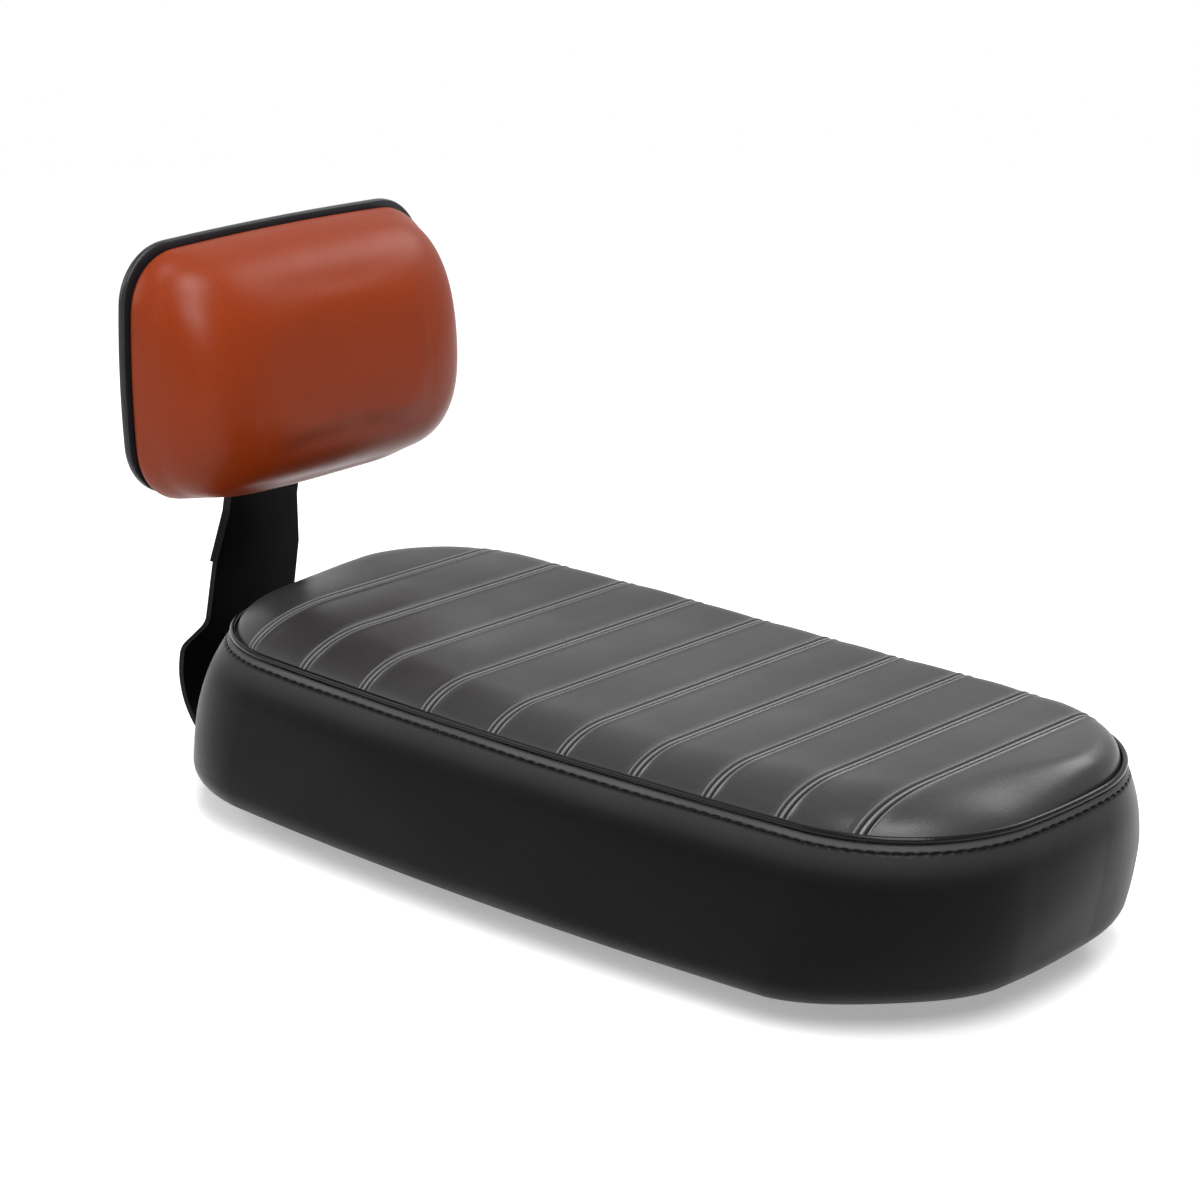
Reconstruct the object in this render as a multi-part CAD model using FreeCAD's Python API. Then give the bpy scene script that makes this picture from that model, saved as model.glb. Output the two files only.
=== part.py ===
# Rear rack cushion seat: a channel-sewn cushion on a moulded base with captive nuts for the rack's
# bolts, and a padded backrest on a stamped steel bracket.
# Frame: X forward, Y to the rider's left, Z up. The origin is midway along the seat,
# on the plane where the base's runners rest on the rack.
import FreeCAD, Part
import math
import os

V = FreeCAD.Vector

# Seat cushion outline and wall, heights measured from the cover's underside
SEAT_LENGTH = 360.0
SEAT_WIDTH = 165.0
SEAT_CORNER = 62.0
SEAT_SIDE_BOW = 4.4
SEAT_END_BOW = 0.6
SEAT_WIDEST = 17.0
SEAT_TUCK = 15.0
SEAT_WALL = 62.0
SEAT_LEAN = 6.2
SEAT_RAKE = 9.0
SEAT_CROWN = 6.7
SEAT_SHOULDER = 6.4

# Covers and the welt between them
SKIN = 1.2
TOP_SKIN = 3.0
TOP_RIM = 1.5
FLAP = 9.0
WELT_RADIUS = 2.1
WELT_PROUD = 0.8
WELT_SKIN = 0.8
CORD_GAP = 0.1
SOFT_GAP = 0.3
FOAM_NECK_DROP = 10.5

# Sewn channels across the top
SEAM_COUNT = 10
SEAM_FIRST = -122.8
SEAM_PITCH = 30.7
SEAM_SPACING = 3.0
SEAM_RADIUS = 1.2
SEAM_DEPTH = 0.9

# Moulded base
BASE_THICKNESS = 8.0
BASE_EDGE = 9.4
BASE_ROUND = 7.8
RUNNER_TRACK = 80.0
RUNNER_WIDTH = 20.0
RUNNER_LENGTH = 190.0
RUNNER_CORNER = 5.0
RUNNER_MARGIN = 0.6
RACK_BOLT_PITCH = 160.0
RACK_BOLT_SPACING = 40.0

# Stamped bracket, heights measured from the cover's underside
SHEET = 2.5
FOOT_WIDTH = 66.0
FOOT_LENGTH = 74.0
FOOT_CORNER = 10.0
FOOT_SETBACK = 6.0
FOOT_BEND = 26.0
UPRIGHT_LEAN = 11.0
UPPER_BEND = 40.0
NECK_WIDTH = 34.4
NECK_FLARE_WIDTH = 42.0
NECK_ROOT_WIDTH = 43.0
FLANGE_DEPTH = 4.0
FLANGE_WALL = 2.0
FLANGE_RISE = 68.4
FLARE_RISE = 20.0
SHOULDER_RISE = 43.4
SHOULDER_DROP = 7.0
SHOULDER_ROUND = 5.0
BRACKET_RISE = 189.4
BRACKET_TOP_ROUND = 7.0
FOOT_BOLT_EDGE = 14.0
FOOT_BOLT_PITCH = 32.0
FOOT_BOLT_SPACING = 40.0

# Backrest shell and pad, depths measured forward from the shell's front face and the middle's
# height from the cover's underside
PAD_OVERHANG = 3.0
BACK_WIDTH = 149.6
BACK_HEIGHT = 94.6
BACK_RISE = 152.0
BACK_CORNER = 22.0
BACK_BOW = 0.8
SHELL_THICKNESS = 3.0
SHELL_EDGE = 1.0
BOSS_HEIGHT = 1.0
BOSS_WIDTH = 60.0
BOSS_DRAFT = 1.2
BOSS_CORNER = 14.0
PAD_MARGIN = 2.0
PAD_DROP = 1.6
PAD_TUCK = 3.0
PAD_DEPTH = 34.0
PAD_CORNER = 20.0
PAD_SIDE_ROUND = 20.0
PAD_TOP_ROUND = 31.0
DOME_TURN = 80.0
DOME_RINGS = 6
DOME_SQUARENESS = 3.0
DOME_CORNER_SHARE = 0.85
BOARD_THICKNESS = 5.0
BACK_SCREW_RISE = 30.0
BACK_SCREW_SPACING = 19.0

# Fasteners: shank radius, across flats, head or nut height, washer radius and thickness
M6_SHANK = 3.0
M6_FLATS = 10.0
M6_HEAD = 4.0
M6_HEAD_FACE = 4.75
M6_NUT = 5.0
M6_WASHER = 6.0
M6_WASHER_THICKNESS = 1.6
M6_SPRING_WASHER = 5.4
M5_SHANK = 2.5
M5_FLATS = 8.0
M5_HEAD = 2.75
M5_HEAD_RADIUS = 4.75
M5_SOCKET_FLATS = 3.0
M5_SOCKET_DEPTH = 1.5
M5_NUT = 4.0
M5_WASHER = 5.0
M5_WASHER_THICKNESS = 1.0
M5_SPRING_WASHER = 4.5
SPRING_WASHER_THICKNESS = 1.4
SPRING_SLIT = 0.8
SPRING_TILT = 25.0
HEAD_CHAMFER = 30.0
BOLT_HOLE_CLEARANCE = 0.3
THREAD_CLEARANCE = 0.05
POCKET_CLEARANCE = 0.1
TIP_CHAMFER = 0.8

# Tolerance for picking an edge by its place
NEAR = 0.01

# Levels and places that follow from the sizes above
FOOT_UNDERSIDE = RUNNER_MARGIN + M6_HEAD + SPRING_WASHER_THICKNESS + M6_WASHER_THICKNESS
COVER_BOTTOM = FOOT_UNDERSIDE + SHEET
BASE_UNDERSIDE = COVER_BOTTOM + SKIN
BASE_TOP = BASE_UNDERSIDE + BASE_THICKNESS
WELT_LEVEL = COVER_BOTTOM + SEAT_WALL
WELT_INSET = WELT_RADIUS - WELT_PROUD
TOP_INSET = WELT_INSET + WELT_RADIUS + SOFT_GAP
SEAT_REAR = -SEAT_LENGTH / 2
FLAP_INNER = SEAT_TUCK + FLAP
FOAM_NECK = SEAT_WALL - FOAM_NECK_DROP
FLANGE_FOOT = COVER_BOTTOM + FLANGE_RISE
SHOULDER_TOP = COVER_BOTTOM + SHOULDER_RISE
BRACKET_TOP = COVER_BOTTOM + BRACKET_RISE
BACK_CENTRE = COVER_BOTTOM + BACK_RISE
BEND_START = SEAT_REAR + FOOT_SETBACK
FOOT_FRONT = BEND_START + FOOT_LENGTH
SHELL_FRONT = SEAT_REAR + PAD_OVERHANG
SHELL_BACK = SHELL_FRONT - SHELL_THICKNESS
BOSS_FACE = SHELL_BACK - BOSS_HEIGHT
BOARD_BACK = SHELL_FRONT + SKIN
BOARD_FRONT = BOARD_BACK + BOARD_THICKNESS
BOARD_INSET = PAD_MARGIN + PAD_TUCK + SOFT_GAP


def bowed_rectangle(length, width, corner, side_bow, end_bow, inset):
    """Closed wire on the XY plane: a round-cornered rectangle with bowed sides, moved in by inset."""
    half_x = length / 2 - corner - end_bow
    half_y = width / 2 - corner - side_bow
    centres = [V(-half_x, -half_y), V(half_x, -half_y), V(half_x, half_y), V(-half_x, half_y)]
    radius = corner - inset
    sides = []
    for i in range(4):
        start = centres[i]
        end = centres[(i + 1) % 4]
        bow = side_bow if i % 2 == 0 else end_bow
        along = (end - start).normalize()
        outward = V(along.y, -along.x)
        half_chord = start.distanceToPoint(end) / 2
        tilt = 2 * math.atan2(bow, half_chord)
        first_normal = outward * math.cos(tilt) - along * math.sin(tilt)
        last_normal = outward * math.cos(tilt) + along * math.sin(tilt)
        middle = (start + end) * 0.5 + outward * (bow + radius)
        sides.append((start, end, first_normal, last_normal, middle))
    edges = []
    for i in range(4):
        start, end, first_normal, last_normal, middle = sides[i]
        next_normal = sides[(i + 1) % 4][2]
        side_end = end + last_normal * radius
        edges.append(Part.Arc(start + first_normal * radius, middle, side_end).toShape())
        corner_middle = end + (last_normal + next_normal).normalize() * radius
        edges.append(Part.Arc(side_end, corner_middle, end + next_normal * radius).toShape())
    return Part.Wire(edges)


def prism(wire, direction):
    """Solid swept by a flat closed wire along a straight direction."""
    return Part.Face(wire).extrude(direction)


def rounded_bar(length, width, corner, height):
    """Flat bar on the XY plane with rounded corners, rising from Z = 0."""
    box = Part.makeBox(length, width, height, V(-length / 2, -width / 2, 0))
    uprights = [e for e in box.Edges if abs(e.tangentAt(e.FirstParameter).z) > 0.99]
    return box.makeFillet(corner, uprights)


def moved(shape, x, y, z):
    """Copy of a shape, moved."""
    copy = shape.copy()
    copy.translate(V(x, y, z))
    return copy


def facing_back(shape):
    """Copy of a shape turned from the XY plane to the YZ plane, its +Z becoming +X."""
    turn = FreeCAD.Matrix(0, 0, 1, 0, 1, 0, 0, 0, 0, 1, 0, 0, 0, 0, 0, 1)
    return shape.transformed(turn, copy=True)


def group(shape, places):
    """Separate copies of one solid at several places, kept together as one piece group."""
    return Part.makeCompound([moved(shape, *place) for place in places])


# Seat

def seat_section(height, inset):
    """Outline of the seat's wall at a height above the cover's underside, moved in by inset."""
    rise = (height - SEAT_WIDEST) / (SEAT_WALL - SEAT_WIDEST)
    wire = bowed_rectangle(SEAT_LENGTH, SEAT_WIDTH, SEAT_CORNER, SEAT_SIDE_BOW, SEAT_END_BOW,
                           inset + SEAT_LEAN * rise ** 2)
    wire.translate(V(SEAT_RAKE * rise, 0, COVER_BOTTOM + height))
    return wire


def seat_wall(bottom, top, inset):
    """Solid inside the seat's bulged wall, between two heights."""
    heights = (bottom, (bottom + top) / 2, top)
    return Part.makeLoft([seat_section(h, inset) for h in heights], True)


def tucked_wall(bottom, top, inset):
    """Solid inside the seat's wall, its lower edge rounded under."""
    wall = seat_wall(bottom, top, inset)
    lower_rim = [e for e in wall.Edges if e.BoundBox.ZMax < COVER_BOTTOM + bottom + NEAR]
    return wall.makeFillet(SEAT_TUCK - inset, lower_rim)


def underside_prism(inset, bottom, top):
    """Prism of the seat's widest outline, moved in by inset, between two levels."""
    wire = seat_section(SEAT_WIDEST, inset)
    wire.translate(V(0, 0, bottom - COVER_BOTTOM - SEAT_WIDEST))
    return prism(wire, V(0, 0, top - bottom))


def seat_side_cover():
    """Boxing band: the wall's skin, turned under the base as a flap."""
    top = SEAT_WALL - WELT_RADIUS - SOFT_GAP
    band = tucked_wall(0, top, 0).cut(tucked_wall(SKIN, top + SKIN, SKIN))
    return band.cut(underside_prism(FLAP_INNER, COVER_BOTTOM - SKIN, BASE_UNDERSIDE + SKIN))


def welt_tube(radius):
    """Round tube along the seat's top edge, between the band and the top panel."""
    path = seat_section(SEAT_WALL, WELT_INSET)
    start = path.Edges[0].valueAt(path.Edges[0].FirstParameter)
    along = path.Edges[0].tangentAt(path.Edges[0].FirstParameter)
    profile = Part.Wire(Part.makeCircle(radius, start, along))
    return path.makePipeShell([profile], True, True)


def seat_piping():
    """Leatherette strip wrapped round the welt's cord."""
    return welt_tube(WELT_RADIUS).cut(welt_tube(WELT_RADIUS - WELT_SKIN))


def piping_cord():
    """Cord inside the welt."""
    return welt_tube(WELT_RADIUS - WELT_SKIN - CORD_GAP)


def crowned_block(inset, bottom, top, shoulder):
    """Block under the top panel, its upper edge rounded into a shoulder."""
    wire = seat_section(SEAT_WALL, inset)
    wire.translate(V(0, 0, bottom - WELT_LEVEL))
    block = prism(wire, V(0, 0, top - bottom))
    rim = [e for e in block.Edges if e.BoundBox.ZMin > top - NEAR]
    return block.makeFillet(shoulder, rim)


def seam_grooves(rim, crown):
    """Round grooves that follow the top panel's section, two for each sewn channel."""
    lift = SEAM_RADIUS - SEAM_DEPTH
    guide = crowned_block(TOP_INSET - lift, rim, crown + lift, SEAT_SHOULDER + lift)
    grooves = []
    for i in range(SEAM_COUNT):
        for side in (-0.5, 0.5):
            x = SEAM_FIRST + i * SEAM_PITCH + side * SEAM_SPACING
            section = guide.slice(V(1, 0, 0), x)[0]
            over = [e for e in section.Edges if e.BoundBox.ZMax > rim + NEAR]
            path = Part.Wire(Part.__sortEdges__(over))
            first = path.OrderedEdges[0]
            start = path.OrderedVertexes[0].Point
            along = first.tangentAt(first.parameterAt(path.OrderedVertexes[0]))
            profile = Part.Wire(Part.makeCircle(SEAM_RADIUS, start, along))
            grooves.append(path.makePipeShell([profile], True, False, 2))
    return grooves


def seat_top_cover():
    """Top panel with its backing, shoulders rounded down to the welt, channels sewn across."""
    rim = WELT_LEVEL - TOP_RIM
    crown = WELT_LEVEL + SEAT_CROWN
    panel = crowned_block(TOP_INSET, rim, crown, SEAT_SHOULDER)
    hollow = crowned_block(TOP_INSET + TOP_SKIN, rim - TOP_SKIN, crown - TOP_SKIN,
                           SEAT_SHOULDER - TOP_SKIN)
    return panel.cut(hollow).cut(seam_grooves(rim, crown))


def seat_foam():
    """Foam block on the base, filling the wall and the crown."""
    inset = TOP_INSET + TOP_SKIN + SOFT_GAP
    shoulder_level = WELT_LEVEL - TOP_RIM - SOFT_GAP
    crown = WELT_LEVEL + SEAT_CROWN - TOP_SKIN - SOFT_GAP
    top = crowned_block(inset, shoulder_level, crown, SEAT_SHOULDER - TOP_SKIN)
    lining = SKIN + SOFT_GAP
    body = tucked_wall(lining, FOAM_NECK, lining)
    body = body.cut(underside_prism(-SEAT_RAKE, COVER_BOTTOM, BASE_TOP))
    collar = seat_section(SEAT_WALL, inset)
    collar.translate(V(0, 0, shoulder_level - WELT_LEVEL))
    neck = Part.makeLoft([seat_section(FOAM_NECK, lining), collar], True, True)
    return body.fuse([neck, top]).removeSplitter()


def rack_places(z):
    """Places of the four captive nuts that take the rack's bolts, at a level."""
    half_pitch = RACK_BOLT_PITCH / 2
    half = RACK_BOLT_SPACING / 2
    return [(x, y, z) for x in (half_pitch, -half_pitch) for y in (-half, half)]


def foot_places(z):
    """Places of the four bolts through the bracket's foot, at a level."""
    front = FOOT_FRONT - FOOT_BOLT_EDGE
    half = FOOT_BOLT_SPACING / 2
    return [(x, y, z) for x in (front, front - FOOT_BOLT_PITCH) for y in (-half, half)]


def seat_base():
    """Base pan: rounded lower edge, two runners, a land for the bracket's foot, nut pockets."""
    pan = underside_prism(BASE_EDGE, BASE_UNDERSIDE, BASE_TOP)
    lower_rim = [e for e in pan.Edges if e.BoundBox.ZMax < BASE_UNDERSIDE + NEAR]
    pan = pan.makeFillet(BASE_ROUND, lower_rim)
    runner = rounded_bar(RUNNER_LENGTH, RUNNER_WIDTH, RUNNER_CORNER, BASE_UNDERSIDE)
    runners = [moved(runner, 0, side * RUNNER_TRACK / 2, 0) for side in (-1, 1)]
    land = Part.makeBox(FOOT_FRONT - SEAT_REAR, FOOT_WIDTH, SKIN, V(SEAT_REAR, -FOOT_WIDTH / 2, COVER_BOTTOM))
    land = land.common(underside_prism(FLAP_INNER + SOFT_GAP, COVER_BOTTOM, BASE_UNDERSIDE))
    pan = pan.fuse(runners + [land]).removeSplitter()
    places = rack_places(0) + foot_places(0)
    hole = Part.makeCylinder(M6_SHANK + BOLT_HOLE_CLEARANCE, BASE_TOP)
    pocket = hexagon(M6_FLATS + 2 * POCKET_CLEARANCE, M6_NUT + POCKET_CLEARANCE)
    pocket.translate(V(0, 0, BASE_TOP - M6_NUT - POCKET_CLEARANCE))
    return pan.cut([moved(hole.fuse(pocket), *place) for place in places])


# Fasteners

def hexagon(flats, height):
    """Hexagonal prism rising from Z = 0."""
    reach = flats / math.sqrt(3)
    points = [V(reach * math.cos(i * math.pi / 3), reach * math.sin(i * math.pi / 3)) for i in range(7)]
    return prism(Part.makePolygon(points), V(0, 0, height))


def shank(radius, length):
    """Bolt shank rising from Z = 0, with a chamfered tip."""
    body = Part.makeCylinder(radius, length - TIP_CHAMFER)
    tip = Part.makeCone(radius, radius - TIP_CHAMFER, TIP_CHAMFER, V(0, 0, length - TIP_CHAMFER))
    return body.fuse(tip).removeSplitter()


def hex_bolt(length):
    """M6 hexagon bolt, head below Z = 0 with its lower corners chamfered, shank above."""
    flare = M6_HEAD / math.tan(math.radians(HEAD_CHAMFER))
    turned = Part.makeCone(M6_HEAD_FACE, M6_HEAD_FACE + flare, M6_HEAD)
    head = hexagon(M6_FLATS, M6_HEAD).common(turned)
    head.translate(V(0, 0, -M6_HEAD))
    return head.fuse(shank(M6_SHANK, length)).removeSplitter()


def button_screw(length):
    """M5 button-head screw, domed head with a hexagon socket below Z = 0, shank above."""
    dome_radius = (M5_HEAD_RADIUS ** 2 + M5_HEAD ** 2) / (2 * M5_HEAD)
    dome = Part.makeSphere(dome_radius, V(0, 0, dome_radius - M5_HEAD))
    head = dome.common(Part.makeCylinder(M5_HEAD_RADIUS, M5_HEAD, V(0, 0, -M5_HEAD)))
    socket = moved(hexagon(M5_SOCKET_FLATS, M5_SOCKET_DEPTH), 0, 0, -M5_HEAD)
    return head.cut(socket).fuse(shank(M5_SHANK, length)).removeSplitter()


def hex_nut(flats, height, shank_radius):
    """Hexagon nut rising from Z = 0, bored to its screw."""
    return hexagon(flats, height).cut(Part.makeCylinder(shank_radius + THREAD_CLEARANCE, height))


def washer(outer, shank_radius, thickness):
    """Flat washer rising from Z = 0."""
    hole = Part.makeCylinder(shank_radius + BOLT_HOLE_CLEARANCE, thickness)
    return Part.makeCylinder(outer, thickness).cut(hole)


def spring_washer(outer, shank_radius):
    """Split spring washer rising from Z = 0."""
    ring = washer(outer, shank_radius, SPRING_WASHER_THICKNESS)
    slit = Part.makeBox(outer * 2, SPRING_SLIT, SPRING_WASHER_THICKNESS * 4,
                        V(0, -SPRING_SLIT / 2, -SPRING_WASHER_THICKNESS * 2))
    slit.rotate(V(0, 0, SPRING_WASHER_THICKNESS / 2), V(1, 0, 0), SPRING_TILT)
    return ring.cut(slit)


def captive_nuts(places):
    """M6 nuts held in the base's pockets."""
    return group(hex_nut(M6_FLATS, M6_NUT, M6_SHANK), places(BASE_TOP - M6_NUT))


def foot_fasteners():
    """Bolts through the bracket's foot from below, with their washers and captive nuts."""
    flat_level = FOOT_UNDERSIDE - M6_WASHER_THICKNESS
    spring_level = flat_level - SPRING_WASHER_THICKNESS
    bolt = hex_bolt(BASE_TOP - TIP_CHAMFER - spring_level)
    flat = washer(M6_WASHER, M6_SHANK, M6_WASHER_THICKNESS)
    return {
        "bracket_bolts": group(bolt, foot_places(spring_level)),
        "bracket_flat_washers": group(flat, foot_places(flat_level)),
        "bracket_spring_washers": group(spring_washer(M6_SPRING_WASHER, M6_SHANK), foot_places(spring_level)),
        "bracket_nuts": captive_nuts(foot_places),
    }


# Bracket

def in_side_view(x, z):
    """Point on the bracket's side view."""
    return V(x, 0, z)


def sheet_profile(thickness):
    """Side view of the bracket: foot, bend, leaning upright and the straight top behind the pad."""
    lean = math.radians(UPRIGHT_LEAN)
    run = BOSS_FACE - BEND_START + FOOT_BEND * math.cos(lean) - UPPER_BEND * (1 - math.cos(lean))
    straight = run / math.sin(lean)
    forward = in_side_view(math.cos(lean), -math.sin(lean))
    upward = in_side_view(math.sin(lean), math.cos(lean))
    bend_centre = in_side_view(BEND_START, COVER_BOTTOM + FOOT_BEND)
    bend_middle = (in_side_view(0, -1) - forward).normalize()
    upper_start = bend_centre - forward * FOOT_BEND + upward * straight
    upper_centre = upper_start - forward * UPPER_BEND
    upper_middle = in_side_view(math.cos(lean / 2), -math.sin(lean / 2))

    def face_line(depth):
        """Edges of the sheet's face lying a depth behind its front face, from the foot upwards."""
        foot = in_side_view(FOOT_FRONT, COVER_BOTTOM - depth)
        radius = FOOT_BEND + depth
        upper = UPPER_BEND - depth
        first = in_side_view(BEND_START, COVER_BOTTOM - depth)
        last = bend_centre - forward * radius
        knee = upper_centre + forward * upper
        head = upper_centre + V(upper, 0, 0)
        top = in_side_view(head.x, BRACKET_TOP)
        return [Part.makeLine(foot, first),
                Part.Arc(first, bend_centre + bend_middle * radius, last).toShape(),
                Part.makeLine(last, knee),
                Part.Arc(knee, upper_centre + upper_middle * upper, head).toShape(),
                Part.makeLine(head, top)], foot, top

    front, front_foot, front_top = face_line(0)
    back, back_foot, back_top = face_line(thickness)
    ends = [Part.makeLine(front_foot, back_foot), Part.makeLine(front_top, back_top)]
    return Part.Wire(Part.__sortEdges__(front + back + ends))


def sheet_solid(thickness):
    """The bracket's side view swept across the foot's width."""
    wire = sheet_profile(thickness)
    wire.translate(V(0, -FOOT_WIDTH / 2, 0))
    return prism(wire, V(0, FOOT_WIDTH, 0))


def rear_outline(inset, bottom):
    """Prism of the bracket's outline seen from behind, moved in by inset, from a level upwards."""
    half_neck = NECK_WIDTH / 2 - inset
    half_flare = NECK_FLARE_WIDTH / 2 - inset
    half_root = NECK_ROOT_WIDTH / 2 - inset
    half_foot = FOOT_WIDTH / 2 - inset
    right = [(half_neck, BRACKET_TOP), (half_neck, FLANGE_FOOT + FLARE_RISE), (half_flare, FLANGE_FOOT),
             (half_root, SHOULDER_TOP), (half_foot, SHOULDER_TOP - SHOULDER_DROP), (half_foot, bottom)]
    points = [V(0, y, z) for y, z in right] + [V(0, -y, z) for y, z in reversed(right)]
    solid = prism(Part.makePolygon(points + points[:1]), V(SEAT_LENGTH, 0, 0))
    solid.translate(V(SEAT_REAR - SEAT_LENGTH / 2, 0, 0))
    corners = [(half_root, SHOULDER_TOP), (half_foot, SHOULDER_TOP - SHOULDER_DROP)]
    edges = [e for e in solid.Edges if any(abs(abs(e.CenterOfMass.y) - y) < NEAR
             and abs(e.CenterOfMass.z - z) < NEAR for y, z in corners)]
    solid = solid.makeFillet(SHOULDER_ROUND, edges)
    tops = [e for e in solid.Edges if abs(e.CenterOfMass.z - BRACKET_TOP) < NEAR
            and abs(abs(e.CenterOfMass.y) - half_neck) < NEAR]
    return solid.makeFillet(BRACKET_TOP_ROUND - inset, tops)


def back_screw_places(x):
    """Places of the four screws that hold the pad and its shell, on a plane of X."""
    rise = BACK_SCREW_RISE / 2
    half = BACK_SCREW_SPACING / 2
    centre = boss_centre()
    return [(x, y, centre + z) for z in (-rise, rise) for y in (-half, half)]


def boss_centre():
    """Height of the middle of the shell's boss, which the bracket's top end reaches across."""
    return BRACKET_TOP - BOSS_WIDTH / 2 + BOSS_DRAFT / 2


def backrest_bracket():
    """Stamped bracket: wide foot, rounded shoulders, leaning neck with turned-back edges."""
    below = FOOT_UNDERSIDE - SHEET
    plate = sheet_solid(SHEET).common(rear_outline(0, below))
    edge = rear_outline(0, below).cut(rear_outline(FLANGE_WALL, below - SHEET))
    keep = Part.makeBox(SEAT_LENGTH, FOOT_WIDTH, BRACKET_TOP,
                        V(SEAT_REAR - SEAT_LENGTH / 2, -FOOT_WIDTH / 2, FLANGE_FOOT))
    flange = sheet_solid(FLANGE_DEPTH).common(edge).common(keep)
    bracket = plate.fuse(flange).removeSplitter()
    foot_hole = Part.makeCylinder(M6_SHANK + BOLT_HOLE_CLEARANCE, 2 * SHEET)
    pad_hole = facing_back(Part.makeCylinder(M5_SHANK + BOLT_HOLE_CLEARANCE, 2 * SHEET))
    holes = [moved(foot_hole, *place) for place in foot_places(FOOT_UNDERSIDE - SHEET / 2)]
    holes += [moved(pad_hole, *place) for place in back_screw_places(BOSS_FACE - 1.5 * SHEET)]
    bracket = bracket.cut(holes)
    corners = [e for e in bracket.Edges if abs(e.CenterOfMass.x - FOOT_FRONT) < NEAR
               and abs(abs(e.CenterOfMass.y) - FOOT_WIDTH / 2) < NEAR]
    return bracket.makeFillet(FOOT_CORNER, corners)


# Backrest

def back_wire(depth, inset):
    """Backrest outline at a depth ahead of the shell's front face, moved in by inset."""
    wire = bowed_rectangle(BACK_WIDTH, BACK_HEIGHT, BACK_CORNER, BACK_BOW, BACK_BOW, inset)
    return moved(facing_back(wire), SHELL_FRONT + depth, 0, BACK_CENTRE)


def pad_ring(turn, inset):
    """Pad's outline at a turn of its dome, 0 at the back and DOME_TURN at the front, moved in by inset."""
    power = 2 / DOME_SQUARENESS
    drawn = 1 - math.cos(math.radians(turn)) ** power
    share = drawn / (1 - math.cos(math.radians(DOME_TURN)) ** power)
    width = BACK_WIDTH - 2 * PAD_MARGIN - 2 * PAD_SIDE_ROUND * drawn
    height = BACK_HEIGHT - 2 * PAD_MARGIN - 2 * PAD_TOP_ROUND * drawn
    corner = PAD_CORNER * (1 - share) + DOME_CORNER_SHARE * height / 2 * share
    wire = bowed_rectangle(width, height, corner, BACK_BOW, BACK_BOW, inset)
    reach = (math.sin(math.radians(turn)) / math.sin(math.radians(DOME_TURN))) ** power
    depth = inset + (PAD_DEPTH - 2 * inset) * reach
    return moved(facing_back(wire), SHELL_FRONT + depth, 0, BACK_CENTRE - PAD_DROP)


def domed_pad(inset):
    """Pad from its flat back to the small flat of its crown, moved in by inset all over."""
    turns = [DOME_TURN * i / (DOME_RINGS - 1) for i in range(DOME_RINGS)]
    return Part.makeLoft([pad_ring(turn, inset) for turn in turns], True)


def tucked_pad(inset):
    """Whole pad with its back edge rounded under, moved in by inset all over."""
    pad = domed_pad(inset)
    back_rim = [e for e in pad.Edges if e.BoundBox.XMax < SHELL_FRONT + inset + NEAR]
    return pad.makeFillet(PAD_TUCK - inset, back_rim)


def back_prism(inset, start, end):
    """Prism of the backrest outline, moved in by inset, between two depths."""
    return prism(back_wire(start, inset), V(end - start, 0, 0))


def pad_prism(inset, start, end):
    """Prism of the backrest outline at the pad's height, moved in by inset, between two depths."""
    return moved(back_prism(inset, start, end), 0, 0, -PAD_DROP)


def backrest_cover():
    """Domed leatherette skin, its edge turned in behind the board."""
    skin = tucked_pad(0).cut(tucked_pad(SKIN))
    return skin.cut(pad_prism(PAD_TUCK + FLAP, -SKIN, 2 * SKIN))


def backrest_foam():
    """Domed foam on the board."""
    return domed_pad(SKIN + SOFT_GAP).cut(pad_prism(0, 0, BOARD_FRONT - SHELL_FRONT))


def backrest_board():
    """Board inside the pad, stepped where the cover's edge turns in behind it."""
    step = pad_prism(PAD_TUCK + FLAP + SOFT_GAP, 0, SKIN)
    board = pad_prism(BOARD_INSET, SKIN, SKIN + BOARD_THICKNESS).fuse(step).removeSplitter()
    hole = facing_back(Part.makeCylinder(M5_SHANK + BOLT_HOLE_CLEARANCE, SKIN + BOARD_THICKNESS))
    pocket = facing_back(hexagon(M5_FLATS + 2 * POCKET_CLEARANCE, M5_NUT + POCKET_CLEARANCE))
    pocket.translate(V(SKIN + BOARD_THICKNESS - M5_NUT - POCKET_CLEARANCE, 0, 0))
    return board.cut([moved(hole.fuse(pocket), *place) for place in back_screw_places(SHELL_FRONT)])


def backrest_shell():
    """Moulded back plate with rounded edges and a drafted boss where the bracket is screwed on."""
    plate = back_prism(0, -SHELL_THICKNESS, 0)
    rims = [e for e in plate.Edges if e.BoundBox.XLength < NEAR]
    plate = plate.makeFillet(SHELL_EDGE, rims)
    outer = bowed_rectangle(BOSS_WIDTH, BOSS_WIDTH, BOSS_CORNER, BACK_BOW, BACK_BOW, 0)
    inner = bowed_rectangle(BOSS_WIDTH, BOSS_WIDTH, BOSS_CORNER, BACK_BOW, BACK_BOW, BOSS_DRAFT)
    root = moved(facing_back(outer), SHELL_BACK, 0, boss_centre())
    face = moved(facing_back(inner), BOSS_FACE, 0, boss_centre())
    shell = plate.fuse(Part.makeLoft([face, root], True)).removeSplitter()
    length = SHELL_THICKNESS + BOSS_HEIGHT
    hole = facing_back(Part.makeCylinder(M5_SHANK + BOLT_HOLE_CLEARANCE, length))
    return shell.cut([moved(hole, *place) for place in back_screw_places(BOSS_FACE)])


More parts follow.
